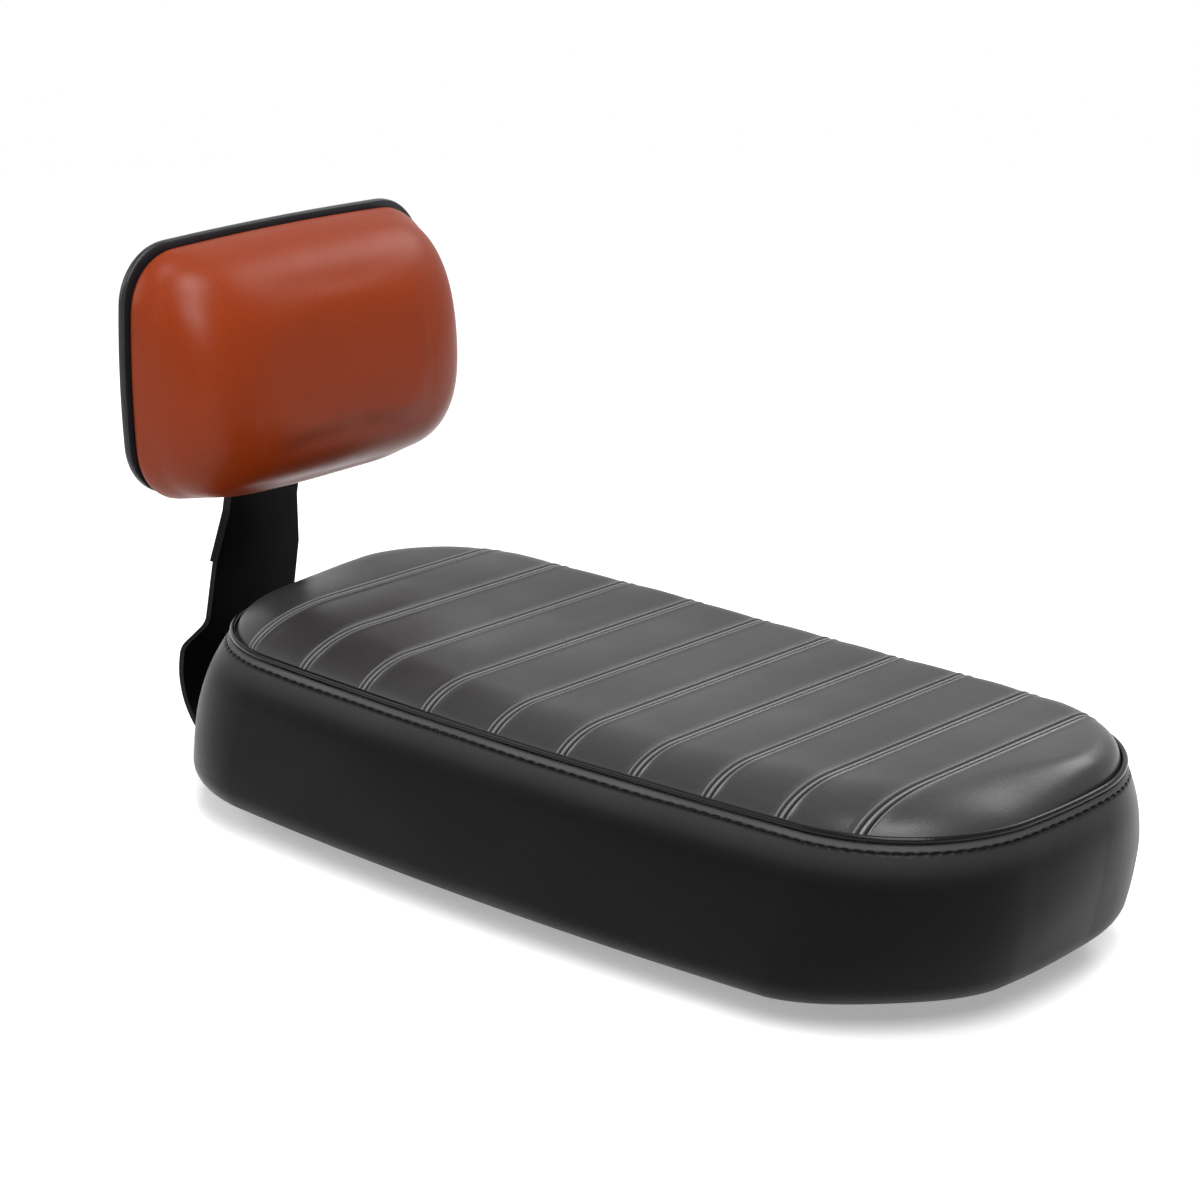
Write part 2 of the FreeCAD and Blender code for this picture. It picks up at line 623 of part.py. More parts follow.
def backrest_fasteners():
    """Screws from behind the bracket with their washers, and the nuts held in the board."""
    seat = BOSS_FACE - SHEET
    flat = seat - M5_WASHER_THICKNESS
    spring = flat - SPRING_WASHER_THICKNESS
    nut = BOARD_FRONT - M5_NUT
    parts = {
        "backrest_screws": (button_screw(BOARD_FRONT - TIP_CHAMFER / 2 - spring), spring),
        "backrest_flat_washers": (washer(M5_WASHER, M5_SHANK, M5_WASHER_THICKNESS), flat),
        "backrest_spring_washers": (spring_washer(M5_SPRING_WASHER, M5_SHANK), spring),
        "backrest_nuts": (hex_nut(M5_FLATS, M5_NUT, M5_SHANK), nut),
    }
    return {name: group(facing_back(shape), back_screw_places(x)) for name, (shape, x) in parts.items()}


def build():
    """Every piece of the seat by its node name."""
    pieces = {
        "seat_base": seat_base(),
        "seat_foam": seat_foam(),
        "seat_side_cover": seat_side_cover(),
        "seat_piping": seat_piping(),
        "piping_cord": piping_cord(),
        "seat_top_cover": seat_top_cover(),
        "rack_nuts": captive_nuts(rack_places),
        "backrest_bracket": backrest_bracket(),
        "backrest_shell": backrest_shell(),
        "backrest_board": backrest_board(),
        "backrest_foam": backrest_foam(),
        "backrest_cover": backrest_cover(),
    }
    pieces.update(foot_fasteners())
    pieces.update(backrest_fasteners())
    return pieces


os.makedirs("parts", exist_ok=True)
for name, shape in build().items():
    shape.exportStep("parts/" + name + ".step")
    print(name, "solids", len(shape.Solids), "valid", shape.isValid(), "volume", round(shape.Volume, 1))
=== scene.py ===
"""Dressed model of a rear rack cushion seat with a padded backrest.

Sizes in the classes are millimetres in the part's own frame: +X forward, +Y to the rider's left, +Z up.
Heights on the seat count from the underside of its cover. Meshes are written in metres.
"""
import logging
import math
from dataclasses import dataclass, field
from enum import Enum

import bmesh
import bpy
import numpy as np
from mathutils import Matrix, Vector
from mathutils.kdtree import KDTree

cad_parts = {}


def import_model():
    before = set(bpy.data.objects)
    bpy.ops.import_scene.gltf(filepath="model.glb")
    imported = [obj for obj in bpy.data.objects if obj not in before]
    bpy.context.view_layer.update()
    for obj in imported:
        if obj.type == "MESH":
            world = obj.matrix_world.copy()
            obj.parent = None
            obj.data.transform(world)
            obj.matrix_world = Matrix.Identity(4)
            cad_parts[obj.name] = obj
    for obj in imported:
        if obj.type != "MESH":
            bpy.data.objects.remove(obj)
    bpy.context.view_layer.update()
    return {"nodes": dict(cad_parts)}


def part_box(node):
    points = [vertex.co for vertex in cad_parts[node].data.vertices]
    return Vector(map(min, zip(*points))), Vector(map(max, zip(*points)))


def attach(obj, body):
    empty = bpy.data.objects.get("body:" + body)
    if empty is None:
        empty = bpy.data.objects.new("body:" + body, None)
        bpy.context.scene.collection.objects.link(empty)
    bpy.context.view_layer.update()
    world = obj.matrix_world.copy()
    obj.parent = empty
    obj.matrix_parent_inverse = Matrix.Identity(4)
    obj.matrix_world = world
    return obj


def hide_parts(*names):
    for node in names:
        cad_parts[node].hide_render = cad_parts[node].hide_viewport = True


MM = 0.001
BODY = "root"
# Name of the mesh attribute that says where the leather takes a painted sheen: paler colour that stands in
# for highlights.
PAINTED_SHEEN_MARK = "painted_sheen"
LOG = logging.getLogger("rear_rack_seat")

Colour = tuple[float, float, float]
Station = tuple[float, float]


class Slot(Enum):
    """Material slots of the part's record."""

    TOP = "top_leatherette"
    SIDE = "black_leatherette"
    PIPING = "piping_leatherette"
    BROWN = "brown_leatherette"
    SHELL = "shell_plastic"
    BASE = "base_plastic"
    BRACKET = "bracket_paint"
    ZINC = "zinc_steel"
    BLACK_STEEL = "black_steel"
    FOAM = "foam"
    CORD = "cord"
    BOARD = "board"


class Effect(Enum):
    """Shared surface effects, each one node group."""

    GRAIN = "leather grain"
    MOTTLE = "slow mottle"
    SPECKLE = "fine speckle"
    BRUSHED = "plating streaks"
    RUBBED = "rubbed places"


# Node trees

@dataclass
class Graph:
    """A node tree being wired."""

    tree: bpy.types.NodeTree

    def feed(self, socket: bpy.types.NodeSocket, value: object) -> None:
        """Link a socket to an output, or set its own value.

        Args:
            socket: input to feed.
            value: an output socket, a number or a sequence of numbers.
        """
        if isinstance(value, bpy.types.NodeSocket):
            self.tree.links.new(value, socket)
        else:
            socket.default_value = value

    def add(self, kind: str, settings: dict[str, object] | None = None, **inputs: object) -> bpy.types.Node:
        """Add a node and feed its named inputs.

        Args:
            kind: Blender's type name of the node.
            settings: attributes of the node itself.
            inputs: values or outputs by socket name, with underscores for spaces.

        Returns:
            The new node.
        """
        node = self.tree.nodes.new(kind)
        for key, value in (settings or {}).items():
            setattr(node, key, value)
        for key, value in inputs.items():
            self.feed(node.inputs[key.replace("_", " ")], value)
        return node

    def math(self, operation: str, first: object, second: object = 0.0) -> bpy.types.NodeSocket:
        """Add a math node.

        Args:
            operation: Blender's name of the operation.
            first: first operand.
            second: second operand.

        Returns:
            The node's output.
        """
        node = self.add("ShaderNodeMath", {"operation": operation})
        self.feed(node.inputs[0], first)
        self.feed(node.inputs[1], second)
        return node.outputs[0]

    def blend(self, factor: object, low: object, high: object) -> bpy.types.NodeSocket:
        """Mix two colours.

        Args:
            factor: share of the second colour.
            low: first colour, as numbers or an output.
            high: second colour, as numbers or an output.

        Returns:
            The mixed colour.
        """
        node = self.add("ShaderNodeMix", {"data_type": "RGBA"})
        self.feed(node.inputs[0], factor)
        for socket, colour in ((node.inputs[6], low), (node.inputs[7], high)):
            plain = isinstance(colour, bpy.types.NodeSocket)
            self.feed(socket, colour if plain else (*colour, 1.0))
        return node.outputs[2]

    def ranged(self, value: object, low: float, high: float) -> bpy.types.NodeSocket:
        """Map a value of 0 to 1 onto a range.

        Args:
            value: the value to map.
            low: result at 0.
            high: result at 1.

        Returns:
            The mapped value.
        """
        return self.add("ShaderNodeMapRange", None, Value=value, To_Min=low, To_Max=high).outputs[0]


def effect_tree(effect: Effect, inputs: dict[str, float], outputs: tuple[str, ...],
                placed: bool = True) -> tuple[Graph, dict, dict]:
    """Start a node group with named numbers and named value outputs.

    Args:
        effect: which effect the group makes.
        inputs: numbers by name with their defaults.
        outputs: names of the values that it puts out.
        placed: whether it takes a Vector as well.

    Returns:
        The graph, the group's inner input outputs by name, and its output inputs by name.
    """
    tree = bpy.data.node_groups.new(effect.value, "ShaderNodeTree")
    if placed:
        tree.interface.new_socket("Vector", in_out="INPUT", socket_type="NodeSocketVector")
    for name, value in inputs.items():
        tree.interface.new_socket(name, in_out="INPUT", socket_type="NodeSocketFloat").default_value = value
    for name in outputs:
        tree.interface.new_socket(name, in_out="OUTPUT", socket_type="NodeSocketFloat")
    graph = Graph(tree)
    entry = graph.add("NodeGroupInput")
    leave = graph.add("NodeGroupOutput")
    return graph, {s.name: s for s in entry.outputs}, {s.name: s for s in leave.inputs}


def grain_effect() -> None:
    """Pebbled leather: rounded cells split by fine creases, over a softer unevenness."""
    graph, given, out = effect_tree(Effect.GRAIN, {"Cells": 900.0}, ("Height", "Crease"))
    warp = graph.add("ShaderNodeTexNoise", None, Vector=given["Vector"], Scale=given["Cells"], Detail=2.0)
    push = graph.add("ShaderNodeVectorMath", {"operation": "SCALE"})
    graph.feed(push.inputs[0], warp.outputs["Color"])
    graph.feed(push.inputs["Scale"], graph.math("DIVIDE", 0.55, given["Cells"]))
    place = graph.add("ShaderNodeVectorMath", {"operation": "ADD"})
    graph.feed(place.inputs[0], given["Vector"])
    graph.feed(place.inputs[1], push.outputs[0])
    cells = graph.add("ShaderNodeTexVoronoi", {"feature": "DISTANCE_TO_EDGE"},
                      Vector=place.outputs[0], Scale=given["Cells"])
    rise = graph.add("ShaderNodeMapRange", {"interpolation_type": "SMOOTHSTEP"},
                     Value=cells.outputs["Distance"], From_Max=0.22)
    soft = graph.math("MULTIPLY", warp.outputs[0], 0.6)
    graph.feed(out["Height"], graph.math("ADD", rise.outputs[0], soft))
    graph.feed(out["Crease"], graph.math("SUBTRACT", 1.0, rise.outputs[0]))


def mottle_effect() -> None:
    """Slow change of tone over a few centimetres, as handling and the press leave it."""
    graph, given, out = effect_tree(Effect.MOTTLE, {"Patches": 22.0}, ("Tone",))
    large = graph.add("ShaderNodeTexNoise", None, Vector=given["Vector"], Scale=given["Patches"],
                      Detail=3.0, Roughness=0.55)
    graph.feed(out["Tone"], graph.add("ShaderNodeMapRange", {"interpolation_type": "SMOOTHSTEP"},
                                      Value=large.outputs[0], From_Min=0.3, From_Max=0.7).outputs[0])


def speckle_effect() -> None:
    """Fine moulded or sprayed texture."""
    graph, given, out = effect_tree(Effect.SPECKLE, {"Grains": 1400.0}, ("Height",))
    fine = graph.add("ShaderNodeTexNoise", None, Vector=given["Vector"], Scale=given["Grains"],
                     Detail=3.0, Roughness=0.6)
    dots = graph.add("ShaderNodeTexVoronoi", {"feature": "SMOOTH_F1"}, Vector=given["Vector"],
                     Scale=given["Grains"])
    graph.feed(out["Height"], graph.math("ADD", fine.outputs[0], dots.outputs["Distance"]))


def brushed_effect() -> None:
    """Faint streaks and clouding of plated steel."""
    graph, given, out = effect_tree(Effect.BRUSHED, {"Streaks": 500.0}, ("Height", "Cloud"))
    stretch = graph.add("ShaderNodeMapping", None, Vector=given["Vector"], Scale=(1.0, 1.0, 8.0))
    fine = graph.add("ShaderNodeTexNoise", None, Vector=stretch.outputs[0], Scale=given["Streaks"],
                     Detail=4.0)
    cloud = graph.add("ShaderNodeTexNoise", None, Vector=given["Vector"],
                      Scale=graph.math("MULTIPLY", given["Streaks"], 0.4), Detail=2.0)
    graph.feed(out["Height"], fine.outputs[0])
    graph.feed(out["Cloud"], cloud.outputs[0])


def painted_sheen_effect() -> None:
    """Share of the painted sheen, a paler colour that stands in for highlights, from the marks that the
    meshes carry.
    """
    graph, given, out = effect_tree(Effect.RUBBED, {"Strength": 1.0}, ("Share",), placed=False)
    marked = graph.add("ShaderNodeAttribute", {"attribute_name": PAINTED_SHEEN_MARK}).outputs["Fac"]
    graph.feed(out["Share"], graph.math("MULTIPLY", marked, given["Strength"]))


def make_effects() -> None:
    """Build every shared node group once."""
    for build in (grain_effect, mottle_effect, speckle_effect, brushed_effect, painted_sheen_effect):
        build()


# Finishes

def scaled(colour: Colour, factor: float) -> Colour:
    """Colour times a factor."""
    return tuple(channel * factor for channel in colour)


@dataclass(frozen=True)
class Finish:
    """A surface finish: base colour, gloss and the relief of its texture."""

    slot: Slot
    colour: Colour
    roughness: float = 0.5
    specular: float = 0.5
    metallic: float = 0.0
    variation: float = 0.12
    rough_change: float = 0.06
    patches: float = 22.0
    relief: float = 0.1
    coat: float = 0.0

    def texture(self, graph: Graph, coords: bpy.types.NodeSocket) -> tuple[object, object]:
        """Relief and a mask that darkens the colour.

        Args:
            graph: the material's node tree.
            coords: object coordinates.

        Returns:
            Height output and darkening output.
        """
        raise NotImplementedError

    def tint(self, graph: Graph, colour: bpy.types.NodeSocket) -> bpy.types.NodeSocket:
        """Colour as it is; a finish with a painted sheen makes it paler where the mesh is marked."""
        return colour

    def effect(self, graph: Graph, effect: Effect, coords: object = None, **inputs: float) -> bpy.types.Node:
        """Place a shared node group.

        Args:
            graph: the material's node tree.
            effect: which group.
            coords: vector output, for a group that takes one.
            inputs: the group's own values.

        Returns:
            The group node.
        """
        node = graph.add("ShaderNodeGroup", {"node_tree": bpy.data.node_groups[effect.value]})
        if coords is not None:
            graph.feed(node.inputs["Vector"], coords)
        for name, value in inputs.items():
            graph.feed(node.inputs[name], value)
        return node

    def material(self) -> bpy.types.Material:
        """Build the finish once and keep it under its slot's name.

        Returns:
            The material.
        """
        known = bpy.data.materials.get(self.slot.value + "_finish")
        if known:
            return known
        material = bpy.data.materials.new(self.slot.value + "_finish")
        material.use_nodes = True
        material.node_tree.nodes.clear()
        graph = Graph(material.node_tree)
        coords = graph.add("ShaderNodeTexCoord").outputs["Object"]
        height, dark = self.texture(graph, coords)
        tone = self.effect(graph, Effect.MOTTLE, coords, Patches=self.patches).outputs["Tone"]
        plain = graph.blend(tone, scaled(self.colour, 1 - self.variation),
                            scaled(self.colour, 1 + self.variation))
        colour = graph.blend(dark, plain, scaled(self.colour, 0.55))
        colour = self.tint(graph, colour)
        bump = graph.add("ShaderNodeBump", None, Height=height, Strength=self.relief, Distance=0.2 * MM)
        shader = graph.add("ShaderNodeBsdfPrincipled", None, Base_Color=colour, Normal=bump.outputs[0],
                           Metallic=self.metallic, Specular_IOR_Level=self.specular, Coat_Weight=self.coat)
        spread = self.rough_change
        graph.feed(shader.inputs["Roughness"],
                   graph.ranged(tone, self.roughness + spread, self.roughness - spread))
        graph.add("ShaderNodeOutputMaterial", None, Surface=shader.outputs[0])
        return material


@dataclass(frozen=True)
class Leather(Finish):
    """Coated leather cloth with a pebbled grain."""

    cells: float = 900.0
    painted_sheen: float = 0.0

    def tint(self, graph: Graph, colour: bpy.types.NodeSocket) -> bpy.types.NodeSocket:
        """Painted highlight: paler tone where the mesh carries the painted sheen mark.

        Args:
            graph: the material's node tree.
            colour: colour elsewhere.

        Returns:
            The colour with its painted highlights.
        """
        if not self.painted_sheen:
            return colour
        share = self.effect(graph, Effect.RUBBED, Strength=1.0).outputs["Share"]
        return graph.blend(share, colour, (self.painted_sheen, self.painted_sheen, self.painted_sheen))

    def texture(self, graph: Graph, coords: bpy.types.NodeSocket) -> tuple[object, object]:
        """Grain relief, and creases a little darker than the cells."""
        grain = self.effect(graph, Effect.GRAIN, coords, Cells=self.cells)
        return grain.outputs["Height"], graph.math("MULTIPLY", grain.outputs["Crease"], 0.35)


@dataclass(frozen=True)
class Speckled(Finish):
    """Moulded plastic, powder coat or foam with a fine even texture."""

    grains: float = 1400.0

    def texture(self, graph: Graph, coords: bpy.types.NodeSocket) -> tuple[object, object]:
        """Speckle relief, darker in its pits."""
        speckle = self.effect(graph, Effect.SPECKLE, coords, Grains=self.grains)
        pits = graph.add("ShaderNodeMapRange", None, Value=speckle.outputs["Height"], From_Min=0.9,
                         From_Max=0.5, To_Max=0.5)
        return speckle.outputs["Height"], pits.outputs[0]


@dataclass(frozen=True)
class Plated(Finish):
    """Plated or oxidised steel."""

    streaks: float = 500.0

    def texture(self, graph: Graph, coords: bpy.types.NodeSocket) -> tuple[object, object]:
        """Streaks in relief, and clouding in the colour."""
        brushed = self.effect(graph, Effect.BRUSHED, coords, Streaks=self.streaks)
        return brushed.outputs["Height"], graph.math("MULTIPLY", brushed.outputs["Cloud"], 0.4)


FINISHES = {
    # A leather's painted sheen value is the paler colour that stands in for highlights on the marked ridges
    # and strip.
    Slot.TOP: Leather(Slot.TOP, (0.019, 0.019, 0.02), 0.35, 0.2, relief=0.1, patches=14.0, painted_sheen=0.12),
    Slot.SIDE: Leather(Slot.SIDE, (0.0025, 0.0025, 0.0027), 0.37, 0.05, relief=0.1, patches=14.0,
                       painted_sheen=0.055),
    Slot.PIPING: Leather(Slot.PIPING, (0.003, 0.003, 0.0032), 0.2, 0.12, relief=0.05),
    Slot.BROWN: Leather(Slot.BROWN, (0.172, 0.02, 0.0012), 0.37, 0.15, variation=0.05, relief=0.04,
                        cells=1100.0),
    Slot.SHELL: Speckled(Slot.SHELL, (0.007, 0.0075, 0.009), 0.36, 0.25, relief=0.08),
    Slot.BASE: Speckled(Slot.BASE, (0.02, 0.02, 0.021), 0.55, 0.4, relief=0.15),
    Slot.BRACKET: Speckled(Slot.BRACKET, (0.0018, 0.0018, 0.0019), 0.36, 0.05, relief=0.05, grains=1800.0),
    Slot.ZINC: Plated(Slot.ZINC, (0.6, 0.6, 0.62), 0.34, 0.5, metallic=1.0, relief=0.1),
    Slot.BLACK_STEEL: Plated(Slot.BLACK_STEEL, (0.02, 0.02, 0.021), 0.36, 0.5, relief=0.1),
    Slot.FOAM: Speckled(Slot.FOAM, (0.78, 0.7, 0.45), 0.95, 0.1, relief=0.6, grains=900.0),
    Slot.CORD: Plated(Slot.CORD, (0.8, 0.78, 0.72), 0.9, 0.1, relief=0.3),
    Slot.BOARD: Plated(Slot.BOARD, (0.5, 0.34, 0.18), 0.7, 0.3, relief=0.3, streaks=200.0),
}


# Meshes

def make_piece(name: str, points: np.ndarray, faces: list[tuple[int, ...]], slot: Slot,
               replaced: tuple[str, ...] = ()) -> bpy.types.Object:
    """Make a smooth mesh piece, dress it and tie it to the frame.

    Args:
        name: the piece's name.
        points: vertices in millimetres.
        faces: vertex indices of each face.
        slot: the record's slot that it takes its finish from.
        replaced: CAD nodes that it stands for.

    Returns:
        The new object.
    """
    mesh = bpy.data.meshes.new(name)
    mesh.from_pydata((points * MM).tolist(), [], faces)
    work = bmesh.new()
    work.from_mesh(mesh)
    bmesh.ops.remove_doubles(work, verts=work.verts, dist=0.002 * MM)
    bmesh.ops.dissolve_degenerate(work, edges=work.edges, dist=0.001 * MM)
    bmesh.ops.recalc_face_normals(work, faces=work.faces)
    work.to_mesh(mesh)
    work.free()
    mesh.shade_smooth()
    piece = bpy.data.objects.new(name, mesh)
    bpy.context.scene.collection.objects.link(piece)
    mesh.materials.append(FINISHES[slot].material())
    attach(piece, BODY)
    if replaced:
        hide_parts(*replaced)
    LOG.info("%s: %d faces", name, len(mesh.polygons))
    return piece


def places(mesh: bpy.types.Mesh) -> np.ndarray:
    """Vertices of a mesh in millimetres."""
    return np.array([vertex.co for vertex in mesh.vertices]) / MM


def paint_sheen(mesh: bpy.types.Mesh, share: np.ndarray) -> None:
    """Keep on a mesh how much painted sheen each vertex takes, from 0 to 1."""
    marks = mesh.attributes.new(PAINTED_SHEEN_MARK, "FLOAT", "POINT")
    marks.data.foreach_set("value", share.astype(np.float32))


def grid_faces(rows: int, columns: int, first: int = 0, close_rows: bool = False) -> list[tuple[int, ...]]:
    """Quads of a grid of vertices whose columns close into a loop.

    Args:
        rows: how many rings.
        columns: vertices in each ring.
        first: index of the first vertex.
        close_rows: whether the last ring joins the first.

    Returns:
        The quads.
    """
    faces = []
    for row in range(rows if close_rows else rows - 1):
        low = first + row * columns
        high = first + ((row + 1) % rows) * columns
        for column in range(columns):
            after = (column + 1) % columns
            faces.append((low + column, low + after, high + after, high + column))
    return faces


def smooth_step(value: np.ndarray, low: float, high: float) -> np.ndarray:
    """Smooth rise from 0 at low to 1 at high."""
    share = np.clip((value - low) / (high - low), 0.0, 1.0)
    return share * share * (3 - 2 * share)


def eased(value: np.ndarray, stations: tuple[Station, ...]) -> np.ndarray:
    """Curve through a few stations, level at each one.

    Args:
        value: where to read it.
        stations: places and the curve's values there, in order.

    Returns:
        The curve's values.
    """
    stops, levels = np.array(stations).T
    after = np.clip(np.searchsorted(stops, value), 1, len(stops) - 1)
    share = np.clip((value - stops[after - 1]) / (stops[after] - stops[after - 1]), 0.0, 1.0)
    blend = 0.5 * share + 0.5 * share * share * (3 - 2 * share)
    return levels[after - 1] + (levels[after] - levels[after - 1]) * blend


def bell(value: np.ndarray, width: float) -> np.ndarray:
    """Bell curve of height 1 about 0."""
    return np.exp(-(value / width) ** 2)


@dataclass(frozen=True)
class BowedOutline:
    """Round-cornered rectangle with bowed sides, traced anticlockwise from the middle of its -X end."""

    length: float
    width: float
    corner: float
    side_bow: float
    end_bow: float

    def arcs(self) -> list[tuple[np.ndarray, float, float, float]]:
        """Sides and corners as arcs.

        Returns:
            Centre, radius, first angle and last angle of each arc, from the -X end round.
        """
        half_x = self.length / 2 - self.corner - self.end_bow
        half_y = self.width / 2 - self.corner - self.side_bow
        sides = []
        for turn, reach, half, bow in ((math.pi, half_x, half_y, self.end_bow),
                                       (1.5 * math.pi, half_y, half_x, self.side_bow),
                                       (2.0 * math.pi, half_x, half_y, self.end_bow),
                                       (2.5 * math.pi, half_y, half_x, self.side_bow)):
            radius = (half ** 2 + bow ** 2) / (2 * bow)
            outward = np.array((math.cos(turn), math.sin(turn)))
            centre = outward * (reach - radius + bow)
            sides.append((centre, radius + self.corner, turn, math.asin(half / radius)))
        found = []
        for index, (centre, radius, turn, swing) in enumerate(sides):
            after = sides[(index + 1) % 4]
            following = after[2] - after[3] + (2 * math.pi if index == 3 else 0.0)
            diagonal = turn + math.pi / 4
            corner = np.array((math.copysign(half_x, math.cos(diagonal)),
                               math.copysign(half_y, math.sin(diagonal))))
            found.append((centre, radius, turn if index == 0 else turn - swing, turn + swing))
            found.append((corner, self.corner, turn + swing, following))
        centre, radius, turn, swing = sides[0]
        found.append((centre, radius, 3 * math.pi - swing, 3 * math.pi))
        return found

    def trace(self, count: int) -> tuple[np.ndarray, np.ndarray]:
        """Evenly spaced points on the outline.

        Args:
            count: how many.

        Returns:
            Points and outward normals.
        """
        arcs = self.arcs()
        lengths = np.array([radius * (last - first) for _, radius, first, last in arcs])
        ends = np.cumsum(lengths)
        points = np.zeros((count, 2))
        normals = np.zeros((count, 2))
        for index in range(count):
            run = ends[-1] * index / count
            which = min(int(np.searchsorted(ends, run, side="right")), len(arcs) - 1)
            centre, radius, first, last = arcs[which]
            angle = first + (run - ends[which] + lengths[which]) / radius
            normals[index] = (math.cos(angle), math.sin(angle))
            points[index] = centre + radius * normals[index]
        return points, normals

    def girth(self) -> float:
        """Length of the outline."""
        return sum(radius * (last - first) for _, radius, first, last in self.arcs())


# Seat

@dataclass(frozen=True)
class SeatForm:
    """Shape that the seat's covers share: plan, leaning wall and the welt's line."""

    width: float
    underside: float
    length: float = 360.0
    corner: float = 62.0
    side_bow: float = 4.4
    end_bow: float = 0.6
    widest: float = 17.0
    wall: float = 62.0
    lean: float = 6.2
    rake: float = 9.0
    welt_height: float = 60.8
    welt_inset: float = 2.2
    welt_radius: float = 1.1

    @classmethod
    def from_frame(cls) -> "SeatForm":
        """Take the width and the underside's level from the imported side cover."""
        low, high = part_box("seat_side_cover")
        return cls((high.y - low.y) / MM, low.z / MM)

    def outline(self) -> BowedOutline:
        """Plan of the seat at its widest."""
        return BowedOutline(self.length, self.width, self.corner, self.side_bow, self.end_bow)

    def rise(self, height: float) -> float:
        """Height above the widest outline as a share of the wall above it."""
        return (height - self.widest) / (self.wall - self.widest)

    def wall_inset(self, height: float) -> float:
        """How far the wall stands in from the widest outline at a height."""
        return self.lean * self.rise(height) ** 2

    def shift(self, height: float) -> float:
        """How far the outline has moved forward at a height."""
        return self.rake * self.rise(height)

    def ring(self, points: np.ndarray, normals: np.ndarray, inset: object, height: float) -> np.ndarray:
        """Closed ring of points on the wall.

        Args:
            points: traced outline.
            normals: its outward normals.
            inset: distance in from the widest outline, a number or one for each point.
            height: height above the cover's underside.

        Returns:
            Points in millimetres.
        """
        flat = points - normals * np.reshape(inset, (-1, 1))
        level = np.full(len(flat), self.underside + height)
        return np.column_stack((flat[:, 0] + self.shift(height), flat[:, 1], level))


@dataclass
class Welt:
    """Piping round the top edge: a strip wrapped round a cord."""

    form: SeatForm
    around: int = 900
    sides: int = 20
    waver: float = 0.12

    def build(self) -> bpy.types.Object:
        """Sweep the tube round the seat.

        Returns:
            The welt.
        """
        form = self.form
        points, normals = form.outline().trace(self.around)
        centre_inset = form.wall_inset(form.welt_height) + form.welt_inset
        run = np.arange(self.around) * (2 * math.pi / self.around)
        drift = self.waver * (np.sin(7 * run) + np.sin(13 * run + 1.0)) / 2
        rings = []
        for side in range(self.sides):
            angle = 2 * math.pi * side / self.sides
            out = form.welt_radius * math.cos(angle)
            ring = form.ring(points, normals, centre_inset - out + drift, form.welt_height)
            ring[:, 2] += form.welt_radius * math.sin(angle)
            rings.append(ring)
        faces = grid_faces(self.sides, self.around, close_rows=True)
        return make_piece("seat_welt", np.vstack(rings), faces, Slot.PIPING, ("seat_piping", "piping_cord"))


